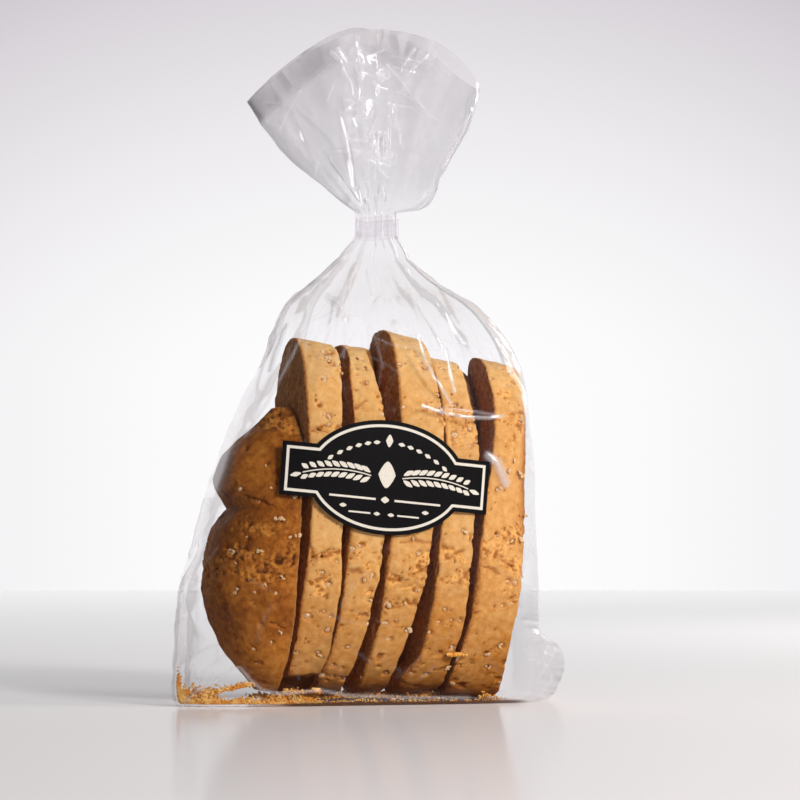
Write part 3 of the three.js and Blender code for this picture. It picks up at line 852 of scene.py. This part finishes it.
def crease_along(across, up, creases):
    """The rise, and the painted highlight of a scuffed line, that a list of creases gives to points of a flat
    surface.
    """
    rise, scuff = np.zeros(len(across)), np.zeros(len(across))
    for width, height, bright, thin, *line in creases:
        xs, zs = line[::2], line[1::2]
        near = np.flatnonzero((across > min(xs) - width) & (across < max(xs) + width)
                              & (up > min(zs) - width) & (up < max(zs) + width))
        away = distance_to_line(across[near], up[near], xs, zs)
        rise[near] = np.maximum(rise[near], height * np.clip(1 - away / width, 0, 1) ** 1.3)
        scuff[near] = np.maximum(scuff[near], bright * bell(away, 0, max(thin, 0.5)))
    return rise, scuff


def strewn(count, across, up, lengths, heights, slant, seed, bright):
    """Straight creases strewn over a flat area. slant gives a crease's angle from upright for its place."""
    maker = np.random.default_rng(seed)
    creases = []
    for _ in range(count):
        x, z = maker.uniform(*across), maker.uniform(*up)
        angle, length = slant(x, z, maker), maker.uniform(*lengths)
        run_x, run_z = math.sin(angle) * length / 2, math.cos(angle) * length / 2
        sway = maker.normal(0, 0.06 * length)
        middle = (x + sway * math.cos(angle), z + sway * math.sin(angle))
        line = (x - run_x, z - run_z, *middle, x + run_x, z + run_z)
        ranges = ((2.2, 5.5), heights, bright, (0.35, 0.6))
        creases.append((*(maker.uniform(*ends) for ends in ranges), *line))
    return creases


def creased(x, z, front, marked, strewn_front, strewn_back, share=1):
    """The rise and the scuffed lines of painted highlight of a skin of film, with marked creases and a share
    of strewn ones in front.
    """
    rise, scuff = crease_along(x, z, marked)
    rise_s, scuff_and_glint_s = crease_along(x, z, strewn_front)
    rise_b, scuff_and_glint_b = crease_along(x, z, strewn_back)
    scuff = np.where(front, np.maximum(scuff, scuff_and_glint_s), scuff_and_glint_b)
    return np.where(front, rise + share * rise_s, rise_b), scuff


def folds(turn):
    """The folds gathered by the neck: sharp ridges with rounded valleys between, from 0 to 1."""
    coarse = 1 - np.abs(np.sin(13 * turn / 2 + 0.4))
    fine = 1 - np.abs(np.sin(8 * turn / 2 + 1.9))
    return 0.6 * coarse + 0.4 * fine


def pleats(turn, count, seed):
    """Small uneven pleats round the neck, from -1 to 1."""
    sway = 0.35 * np.sin(3 * turn + seed) + 0.25 * np.sin(5 * turn + 2 * seed)
    return 2 / math.pi * np.arcsin(np.sin(count * turn + 2.2 * sway))


def neck_ring(turn, z):
    """The gathered neck: a bundle of pleats, the same for the body's film and for the fan's."""
    radius = NECK_RADIUS * (1 - NECK_FOLD * (1 - folds(turn))) - 0.25 + NECK_PLEAT * pleats(turn, 31, 1.0)
    return np.column_stack([NECK_X + radius * np.sin(turn), -radius * np.cos(turn), z])


def body_film(turn, z, floor_share):
    left, right, front, back, square = bag_section(np.minimum(z, DRAWN_FROM))
    middle, half = (right - left) / 2, (right + left) / 2
    share = np.sin(turn)
    fronting = np.cos(turn) >= 0
    reach = np.where(fronting, front, back)
    deep = reach * rounded(share, square)
    fold_depth = 0.1 + 0.06 * smooth_step(z, FOLDS_FROM, NECK_FROM)
    gather = 1 - fold_depth * smooth_step(z, FOLDS_FROM, 128) * (1 - folds(turn))
    x = middle + half * share * gather
    y = np.where(fronting, -1, 1) * deep * gather
    tight = 1 - smooth_step(z, 118, 132)
    for gap_x, gap_lean in GAPS:
        sink = GAP_SINK * bell(x - gap_x - gap_lean * (z - 60), 0, GAP_REACH)
        y += np.where(fronting, 1, -0.6) * sink * tight * smooth_step(z, 2, 14)
    for side, depth, spread, ear_reach, foot, fullest, top in EARS:
        rising = foot + (1 - foot) * smooth_step(z, 0, fullest)
        pinch = np.exp(-np.abs(y - depth) / spread) * rising * (1 - smooth_step(z, fullest, top))
        x += side * ear_reach * pinch * smooth_step(share * side, 0.86, 1)
    points = np.column_stack([x, y, z])
    drawn = smooth_step(z, DRAWN_FROM, NECK_FROM)[:, None]
    points = points * (1 - drawn) + neck_ring(turn, z) * drawn
    centre = np.column_stack([middle, np.zeros_like(z), z])
    return centre + (points - centre) * floor_share[:, None]


EDGES = {"feature": "DISTANCE_TO_EDGE"}  # of a texture's cells


def film_material():
    """Clear film: see-through, glossy at a slant, whitish where it is hazy, and white along scuffed creases
    as painted highlights.
    """
    material, wire = new_material("clear_film")
    place = object_place(wire)
    scuff, haze, crumple, ear, dust = attributes(wire, "scuff", "haze", "crumple", "ear", "dust")
    voronoi = ({"Vector": place, "Scale": scale} for scale in (95, 60))
    crinkle, facets = (wire.node("TexVoronoi", sockets, EDGES) for sockets in voronoi)
    slack = noise(place, 60.0, 2.0)
    height = (crinkle.at_most(0.12) * 3 + slack * 1.2) * 0.14 + facets * crumple * 4
    bump = bumps(height, 1.0, 0.4)
    clear = wire.node("BsdfTransparent", {"Color": (0.972, 0.968, 0.975, 1)})
    mirror = principled(wire, {"Base Color": (0.97, 0.965, 0.98, 1), "Metallic": 1.0,
                               "Roughness": 0.12, "Normal": bump})
    # Painted highlights: white along the scuffed creases, grey where the film is only hazy.
    whiter = scuff.step(0.03, 0.4).blend((0.45, 0.438, 0.468, 1), (0.93, 0.92, 0.95, 1))
    cloudy = principled(wire, {"Base Color": whiter, "Metallic": scuff.step(0.1, 0.4, 0.0, 0.65),
                               "Roughness": 0.22, "Normal": bump})
    lit_through = wire.node("BsdfTranslucent", {"Color": (0.96, 0.95, 0.98, 1)})
    milky = mixed(scuff.step(0.03, 0.4, 0.0, 0.2), cloudy, lit_through)
    gloss = wire.node("Fresnel", {"IOR": 1.5, "Normal": bump})
    slanting = ((gloss - 0.037) * 1.35).at_least(0).at_most(0.3) * (1 - ear * 0.75)
    film = mixed(slanting, clear, mirror)
    shown = mixed((scuff * 0.85).at_least(haze), film, milky)
    # Crumb dust and painted shade: the film's floor under the slices is painted dark brown.
    crumb_dust_and_shade = principled(wire, {"Base Color": (0.13, 0.05, 0.018, 1), "Roughness": 0.9})
    finish_material(wire, mixed(dust * 0.85, shown, crumb_dust_and_shade))
    return material


clear_film = film_material()


def film_grid(name, columns, rows, place_film):
    """A skin of film: a grid rolled into a tube by place_film, its two upright edges welded."""
    bm = bmesh.new()
    bmesh.ops.create_grid(bm, x_segments=columns, y_segments=rows, size=1)
    flat = np.array([vert.co for vert in bm.verts])
    wound = math.pi * flat[:, 0]
    turn = wound - FRONT_CROWDING * np.sin(wound)
    points = place_film(turn, (flat[:, 1] + 1) / 2)
    for vert, point in zip(bm.verts, points):
        vert.co = point * MM
    bmesh.ops.remove_doubles(bm, verts=bm.verts, dist=0.002 * MM)
    bmesh.ops.recalc_face_normals(bm, faces=bm.faces)
    return object_from(bm, name, [clear_film])


def outward(mesh):
    """A skin's points, and its normals turned outwards."""
    points, normals = read(mesh.vertices, "co") / MM, read(mesh.vertex_normals, "vector")
    return points, normals * np.sign(np.mean(normals[:, 1] * points[:, 1]))


def body_place(turn, v):
    z = np.clip((v - FLOOR_ROWS) / (1 - FLOOR_ROWS), 0, 1) * BODY_TOP
    return body_film(turn, z, np.clip(v / FLOOR_ROWS, 0, 1))


film_body = film_grid("film_body", BODY_COLUMNS, BODY_ROWS, body_place)
mesh = film_body.data
points, normals = outward(mesh)
x, y, z = points.T
front = normals[:, 1] < 0.05
to_neck = lambda cx, cz, maker: math.atan2(NECK_X - cx, 185 - cz) + maker.normal(0, 0.16)
any_way = lambda cx, cz, maker: maker.uniform(-1.5, 1.5)
shoulder = strewn(60, (-40, 52), (122, 162), (8, 26), (0.25, 0.8), to_neck, 21, (0, 0.2))
loose_front = strewn(34, (-60, 58), (8, 124), (5, 15), (0.1, 0.3), any_way, 22, (0, 0.14))
ear_front = strewn(26, (54, 76), (2, 32), (5, 14), (0.2, 0.6), any_way, 25, (0.2, 0.55))
corner_front = strewn(14, (-76, -58), (4, 60), (6, 16), (0.1, 0.3), to_neck, 26, (0, 0.35))
back_side = strewn(90, (-66, 60), (6, 124), (8, 26), (0.15, 0.5), any_way, 23, (0, 0.15))
back_top = strewn(60, (-40, 52), (122, 162), (8, 26), (0.25, 0.8), to_neck, 24, (0, 0.15))
rise, scuff = creased(x, z, front, FRONT_CREASES, shoulder + loose_front + ear_front + corner_front,
                      back_side + back_top)
from_label = np.hypot(x - LABEL_X, (z - LABEL_Z) * 1.7)
under_label = smooth_step(42 - from_label, 0, 4) * front
rise *= (1 - under_label) * smooth_step(z, 0.5, 3) * (1 - smooth_step(z, 160, 168))
scuff *= (1 - 0.9 * under_label) * (1 - smooth_step(z, 164, 169))
slack_body = 0.3 * lumps(points, 21, 61) + 0.07 * lumps(points, 7, 62)
slack_body *= smooth_step(z, 1, 8) * (1 - under_label) * (1 - smooth_step(z, 160, 168))
points = points + normals * (rise + slack_body)[:, None]
points[:, 2] = np.maximum(points[:, 2], 0.02)
write_points(mesh, points)
in_ear = smooth_step(x, 55, 66) * smooth_step(-z, -34, -18)
haze = 0.003 + 0.08 * smooth_step(z, 128, 150) - 0.05 * smooth_step(z, 158, 168)
haze += 0.015 * smooth_step(x, 5, 22) * smooth_step(-x, -56, -50) * smooth_step(z, 30, 60) * front
# Painted light: the ear is painted a little whiter, as if lit from the right.
ear_painted_light = 0.06 * in_ear * (0.7 + 0.6 * lumps(points, 5, 63))
crumple = np.maximum(smooth_step(z, 124, 142) * 0.8, 0.35 * in_ear)
# Dark brown painted on the film's floor under the slices: crumb dust, and painted shade beneath them.
dust = smooth_step(1.6 - z, 0, 1) * smooth_step(x, -40, -30) * smooth_step(-x, -56, -48)
dust *= 0.9 + 0.1 * lumps(points, 2.5, 64)
write_attributes(mesh, scuff=np.maximum(scuff, ear_painted_light), haze=haze, ear=in_ear, crumple=crumple, dust=dust)
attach(film_body, "root")
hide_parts("bag")

# ---------- Film above the tape ----------
# The free end of the same bag, gathered by the tape and spread above it into a flattened fan with an open
# mouth. Pleats run up from the neck, and the front and back walls part a little at the rim.
FAN_FOOT, FAN_TOP = 179, 250
FAN_FRONT, FAN_BACK, FAN_SQUARE = -12, 13, 2.4  # how far the rim's walls part, and how square it is
RIM_FLUTE, RIM_SAG = 2.6, 4.8
RIM_BAND = -14.5, -7.5  # the grey band painted under the rim as a dark reflection, from where it starts to where it is full
TUCKED_ROWS = 0.09  # the share of the rows that run up inside the tape
FAN_COLUMNS, FAN_ROWS = ((380, 150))
# The left and the right side: reach, height of the corner, how the rim falls to it, how the edge bows
FAN_LEFT, FAN_RIGHT = (46, 218, 1.5, 5), (42, 226.5, 1.85, 6.5)
FAN_CREASES = [
    # as the creases of the bag's front
    (4, 0.9, 0.8, 0.6, -15.7, 236.2, -12.8, 233.3, -7.8, 228.5, -2.1, 227.5),
    (4, 0.9, 0.7, 0.6, -14.3, 228.9, -11, 224.6, -10.2, 219.9),
    (4, 0.7, 0.6, 0.5, -0.8, 235.5, -0.5, 229.9),
    (2.5, 0.8, 0.8, 0.45, -4.2, 204.1, -2, 207.1, 2.1, 207, 3.8, 203.9, 3.1, 200.2),
    (3, 0.7, 0.8, 0.45, -2.7, 197, 0.1, 195, 3.5, 191.6, 4.6, 190.9),
    (3, 0.8, 0.9, 0.5, 3.6, 212.6, 4.1, 206.4, 4.6, 201),
    (2.5, 0.6, 0.7, 0.4, -0.7, 182.8, 2.5, 186.5, 3.8, 184.4, 4.6, 182.6),
    (6, 1.2, 0.9, 1.3, 39.5, 223, 33.2, 210, 26.7, 196.9),
    (4, 0.8, 0.4, 0.8, 24.5, 194.8, 22.2, 189.2, 20.3, 183.8),
    (3, 0.7, 0.7, 0.5, 14.1, 183, 17.2, 183.9, 20.7, 186.6),
    (5, 1, 0.15, 0.6, -34.2, 216.4, -32.5, 209.2, -31.5, 204),
    (6, 1.4, 0.2, 0.5, -30, 216.4, -21.7, 209.2, -15.9, 203.9, -14.2, 200.4),
    (6, 1.2, 0.15, 0.5, -26.1, 213.9, -19.9, 203.2, -12.6, 191.7, -7.5, 182.9),
    (4, 0.8, 0.15, 0.5, -8.3, 208.2, -9.4, 200.3, -7.2, 195.1),
    (5, 1.1, 0.4, 0.5, 3.2, 232, 10.4, 223.7, 19, 214, 21.9, 213.1),
    (6, 1.1, 0.2, 0.6, 8.7, 230.3, 15, 219.2, 24, 201.9),
]


def rim_of_fan(turn):
    share, fronting = np.sin(turn), np.cos(turn) >= 0
    shape = np.where(share[:, None] < 0, FAN_LEFT, FAN_RIGHT)
    reach, corner, fall, bow = shape.T
    middling = 1 - share * share
    deep = np.where(fronting, FAN_FRONT, FAN_BACK) * rounded(share, FAN_SQUARE)
    flute = RIM_FLUTE * np.sin(6.5 * share + 0.9) * middling
    sag = np.where(fronting, RIM_SAG * middling * (1 + np.cos(3 * turn)) * 0.5, 0)
    height = FAN_TOP + (corner - FAN_TOP) * np.abs(share) ** fall
    return np.column_stack([share * reach, deep + flute, height - sag]), bow * share


def fan_place(turn, v):
    z = BODY_TOP + np.clip(v / TUCKED_ROWS, 0, 1) * (FAN_FOOT - BODY_TOP)
    t = np.clip((v - TUCKED_ROWS) / (1 - TUCKED_ROWS), 0, 1)
    share = np.sin(turn)
    foot = neck_ring(turn, z)
    rim, bow = rim_of_fan(turn)
    points = foot + (rim - foot) * t[:, None]
    halfway = np.sin(math.pi * t)
    pouch = 8 * bell(t, 0.08, 0.2) * smooth_step(share, 0.2, 1) * smooth_step(t, 0, 0.04)
    points[:, 0] += bow * halfway + pouch
    points[:, 1] *= 1 + 0.35 * halfway
    spread = smooth_step(t, 0, 0.55)
    pleat = pleats(turn, 17, 2.0) * 0.9 * halfway * (1 - 0.7 * spread) + pleats(turn, 7, 0.4) * 1.3 * spread
    points[:, 1] += pleat * np.sign(points[:, 1]) * (1 - 0.4 * t) * (1 - share ** 4)
    return points


film_fan = film_grid("film_fan", FAN_COLUMNS, FAN_ROWS, fan_place)
mesh = film_fan.data
points, normals = outward(mesh)
x, y, z = points.T
front = y < 0
up_from_neck = lambda cx, cz, maker: math.atan2(cx - NECK_X, cz - 168) + maker.normal(0, 0.12)
fan_front = strewn(26, (-40, 38), (184, 244), (12, 38), (0.4, 1.2), up_from_neck, 31, (0, 0.22))
fan_back = strewn(30, (-40, 38), (184, 248), (12, 38), (0.4, 1.2), up_from_neck, 32, (0, 0.2))
cross_front = strewn(16, (-36, 36), (190, 240), (6, 16), (0.2, 0.7), any_way, 33, (0, 0.4))
# Painted highlights: the strewn creases down the middle of the front carry bright scuffed lines.
middle_front = strewn(26, (-15, 12), (188, 238), (4, 12), (0.5, 1.3), any_way, 34, (0.3, 0.9))
rise, scuff = creased(x, z, front, FAN_CREASES, fan_front + cross_front + middle_front, fan_back, 0.7)
above_tape = smooth_step(z, 178, 184)
points = points + normals * ((rise + 0.5 * lumps(points, 9, 71)) * above_tape)[:, None]
write_points(mesh, points)
corner_height = np.where(x < 0, FAN_LEFT[1], FAN_RIGHT[1])
rim_height = FAN_TOP + (corner_height - FAN_TOP) * np.clip(np.abs(x) / 45, 0, 1) ** 1.6
# Painted reflection: a grey band under the rim over the left and middle, fading out to the right, for the
# dark back wall.
rim_painted_shade = smooth_step(z - rim_height, *RIM_BAND) * smooth_step(-x, -34, -10)
# Painted highlights: white blotches down the middle of the front wall, where the fan catches the light.
painted_sheen = smooth_step(lumps(points, (3.2, 4, 6), 73), 0.08, 0.5) * bell(x, -2, 9) * front
painted_sheen *= 1 - smooth_step(z, 232, 240)
# The haze thickens towards the left, and most in the grey band painted under the rim.
haze = 0.17 + 0.07 * lumps(points, 11, 72) + 0.5 * rim_painted_shade + 0.1 * smooth_step(-x, 8, 30)
haze = 0.05 + haze * smooth_step(z, 178, 196)
scuff = np.maximum(0.8 * scuff, 0.95 * painted_sheen) * above_tape
write_attributes(mesh, scuff=scuff, haze=haze, crumple=0.5 * above_tape)
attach(film_fan, "root")
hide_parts("bag")

# ---------- Neck tape ----------
# A strip of clear adhesive tape wound round the gathered neck, milky over the pleats that it holds, with a
# free end stuck down over its first turn.
tape_low, tape_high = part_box("neck_tape")
TAPE_RADIUS = (tape_high.x - tape_low.x) / 2 / MM
TAPE_FOOT, TAPE_HEIGHT = tape_low.z / MM, (tape_high.z - tape_low.z) / MM
TAPE_THICK, LAP_THICK = 0.15, 0.25  # the free end stands a little off
LAP_FROM, LAP_TO = 0.3, 1.9  # the turns between which the free end lies over the first turn


def tape_material():
    material, wire = new_material("clear_tape")
    place = object_place(wire)
    cloudy = noise(place, 330.0, 3.0)
    ridges = noise(wire.node("Mapping", {"Vector": place, "Scale": (700, 700, 90)}), 1.0, 2.0)
    bump = bumps(ridges, 0.6, 0.4)
    clear = wire.node("BsdfTransparent", {"Color": (0.988, 0.983, 0.99, 1)})
    white = principled(wire, {"Base Color": (0.97, 0.95, 0.98, 1), "Roughness": 0.3, "Normal": bump,
                              "Coat Weight": 0.3})
    lit_through = wire.node("BsdfTranslucent", {"Color": (0.97, 0.96, 0.99, 1), "Normal": bump})
    milky = mixed(0.6, white, lit_through)
    shown = cloudy.step(0.3, 0.7, 0.01, 0.05) + ridges.step(0.45, 0.65, 0.0, 0.07)
    finish_material(wire, mixed(shown, clear, milky))
    return material


bm = bmesh.new()
bmesh.ops.create_cone(bm, cap_ends=False, segments=144, radius1=1, radius2=1, depth=1)
upright = [edge for edge in bm.edges if abs(edge.verts[0].co.z - edge.verts[1].co.z) > 0.5]
bmesh.ops.subdivide_edges(bm, edges=upright, cuts=14)
for vert in bm.verts:
    turn = math.atan2(vert.co.x, -vert.co.y)
    up = vert.co.z + 0.5
    lap = LAP_THICK if LAP_FROM < turn < LAP_TO else 0
    wrinkle = 0.22 * math.sin(19 * turn + 2 * up) * math.sin(math.pi * up)
    wrinkle += 0.12 * math.sin(31 * turn - 5 * up)
    radius = TAPE_RADIUS - TAPE_THICK + lap + wrinkle * 0.6
    height = TAPE_FOOT + up * TAPE_HEIGHT + 0.25 * math.sin(3 * turn + 1)
    vert.co = Vector((NECK_X + radius * math.sin(turn), -radius * math.cos(turn), height)) * MM
bmesh.ops.solidify(bm, geom=bm.faces[:], thickness=-TAPE_THICK * MM)
bmesh.ops.recalc_face_normals(bm, faces=bm.faces)
neck_band = object_from(bm, "neck_band", [tape_material()])
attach(neck_band, "root")
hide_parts("neck_tape")

# ---------- Label ----------
# A black paper label stuck on the front film: a bar whose middle swells into an oval, with a cream line
# set in from its edge. Inside are printed wheat sprays, a diamond and plain rules, with no lettering.
LABEL_BAR = (76.4, 19.2)
LABEL_OVAL = (59, 41)
LABEL_OFF, LABEL_THICK = 0.3, 0.4  # how far its back is from the film's smooth section
PRINT_SUNK, PRINT_THICK = 0.03, 0.09  # the print starts a little inside the paper
LINE_MARGIN, LINE_WIDTH = 1.5, 1.0
FACING = (0, 1 * MM, 0)  # flat work's far side, which bend_to_front puts at its true thickness


def print_material(name, colour, fleck):
    """Printed paper under a satin varnish, its ink a little uneven."""
    material, wire = new_material(name)
    tooth = noise(object_place(wire), 2400.0, 2.0)
    finish_material(wire, principled(wire, {
        "Base Color": tooth.step(0.3, 0.7).blend(colour, fleck),
        "Roughness": 0.36 + (tooth - 0.5) * 0.12,
        "Specular IOR Level": 0.07,
        "Normal": bumps(tooth, 0.12, 0.1),
    }))
    return material


black_ink = print_material("black_ink", (0.0038, 0.0034, 0.004, 1), (0.006, 0.0055, 0.0065, 1))
cream_ink = print_material("cream_ink", (0.66, 0.61, 0.53, 1), (0.72, 0.68, 0.60, 1))


def label_outline():
    """The label's edge, clockwise from its left end, as places across and up the label."""
    bar_x, bar_z = LABEL_BAR[0] / 2, LABEL_BAR[1] / 2
    oval_x, oval_z = LABEL_OVAL[0] / 2, LABEL_OVAL[1] / 2
    meet = math.asin(bar_z / oval_z)
    arc = [meet + (math.pi - 2 * meet) * i / 48 for i in range(49)]
    upper = [(oval_x * math.cos(a), oval_z * math.sin(a)) for a in reversed(arc)]
    lower = [(-across, -up) for across, up in upper]
    return [(-bar_x, bar_z)] + upper + [(bar_x, bar_z), (bar_x, -bar_z)] + lower + [(-bar_x, -bar_z)]


def bend_to_front(bm, off, thickness):
    """Lays flat work, drawn across X and up Z and thickened along Y, on the front film."""
    for axis, reach, apart in ((0, 36, 2), (2, 20, 4)):
        for place in range(-reach, reach + 1, apart):
            cut_across(bm, axis, place, dist=1e-7)
    flat = np.array([vert.co for vert in bm.verts]) / MM
    x = LABEL_X + flat[:, 0] * math.cos(LABEL_TILT) - flat[:, 2] * math.sin(LABEL_TILT)
    z = LABEL_Z + flat[:, 0] * math.sin(LABEL_TILT) + flat[:, 2] * math.cos(LABEL_TILT)
    left, right, front, back, square = bag_section(z)
    share = (x - (right - left) / 2) / ((right + left) / 2)
    y = -front * rounded(share, square) - off - thickness * (flat[:, 1] > 0.5)
    for vert, place in zip(bm.verts, np.column_stack([x, y, z])):
        vert.co = place * MM
    bmesh.ops.recalc_face_normals(bm, faces=bm.faces)


bm = bmesh.new()
edge = [bm.verts.new((across * MM, 0, up * MM)) for across, up in label_outline()]
plate = bmesh.ops.contextual_create(bm, geom=edge)["faces"]
bmesh.ops.inset_region(bm, faces=plate, thickness=LINE_MARGIN * MM, use_boundary=True, use_even_offset=True)
line = bmesh.ops.inset_region(bm, faces=plate, thickness=LINE_WIDTH * MM, use_boundary=True,
                              use_even_offset=True)
for face in line["faces"]:
    face.material_index = 1
thicken(bm, FACING)
bend_to_front(bm, LABEL_OFF, LABEL_THICK)
label_plate = object_from(bm, "label_plate", [black_ink, cream_ink], smooth=False)
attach(label_plate, "root")
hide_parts("label")


def turn_and_move(bm, verts, across, up, angle):
    bmesh.ops.rotate(bm, verts=verts, matrix=Matrix.Rotation(-angle, 3, "Y"))
    bmesh.ops.translate(bm, verts=verts, vec=(across * MM, 0, up * MM))


def add_leaf(bm, across, up, angle, length, width):
    """A pointed leaf or grain."""
    verts = bmesh.ops.create_circle(bm, cap_ends=True, segments=14, radius=1)["verts"]
    for vert in verts:
        along = vert.co.x
        vert.co = (along * length / 2 * MM, 0, vert.co.y * (1 - 0.45 * abs(along)) * width / 2 * MM)
    turn_and_move(bm, verts, across, up, angle)


def add_bar(bm, across, up, angle, length, width):
    """A plain rule."""
    verts = bmesh.ops.create_grid(bm, x_segments=1, y_segments=1, size=0.5)["verts"]
    bmesh.ops.scale(bm, verts=verts, vec=(length * MM, width * MM, 1))
    bmesh.ops.rotate(bm, verts=verts, matrix=Matrix.Rotation(math.radians(90), 3, "X"))
    turn_and_move(bm, verts, across, up, angle)


bm = bmesh.new()
for side in (-1, 1):
    # a wheat spray lies along each half, its grains in pairs on a curved stem
    for i in range(9):
        along = 7.2 + i * 2.75
        rise_up = 1.3 - 0.011 * (along - 16) ** 2
        for half_side in (-1, 1):
            angle = half_side * math.radians(30)
            add_leaf(bm, side * (along + 0.7), rise_up + half_side * 1.9, side * angle, 4.1 - 0.14 * i, 1.75)
        add_bar(bm, side * along, rise_up, -side * 0.022 * (along - 16), 2.9, 0.4)
    add_leaf(bm, side * 33.0, -2.0, side * -0.3, 4.0, 1.7)
    # a row of small leaves arches over each spray, and two rules and a seed lie under it
    for i in range(6):
        across = 4.6 + 3.3 * i
        add_leaf(bm, side * across, 12.6 - 0.0165 * across ** 2, side * -0.033 * across, 2.5, 1.5)
    add_bar(bm, side * 12.0, -8.0, 0, 17, 0.75)
    add_bar(bm, side * 9.0, -13.2, 0, 8, 0.6)
    add_leaf(bm, side * 15.2, -11.2, 0, 2.6, 1.5)
    add_leaf(bm, side * 2.6, -13.2, 0, 2.4, 1.4)
add_leaf(bm, 0, 1, math.radians(90), 9.6, 6.4)
add_leaf(bm, 0, -8.0, 0, 3.0, 2.4)
add_leaf(bm, 0, 13.2, math.radians(90), 4.6, 2.6)
thicken(bm, FACING)
bend_to_front(bm, LABEL_OFF + LABEL_THICK - PRINT_SUNK, PRINT_THICK)
label_ornament = object_from(bm, "label_ornament", [cream_ink], smooth=False)
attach(label_ornament, "root")
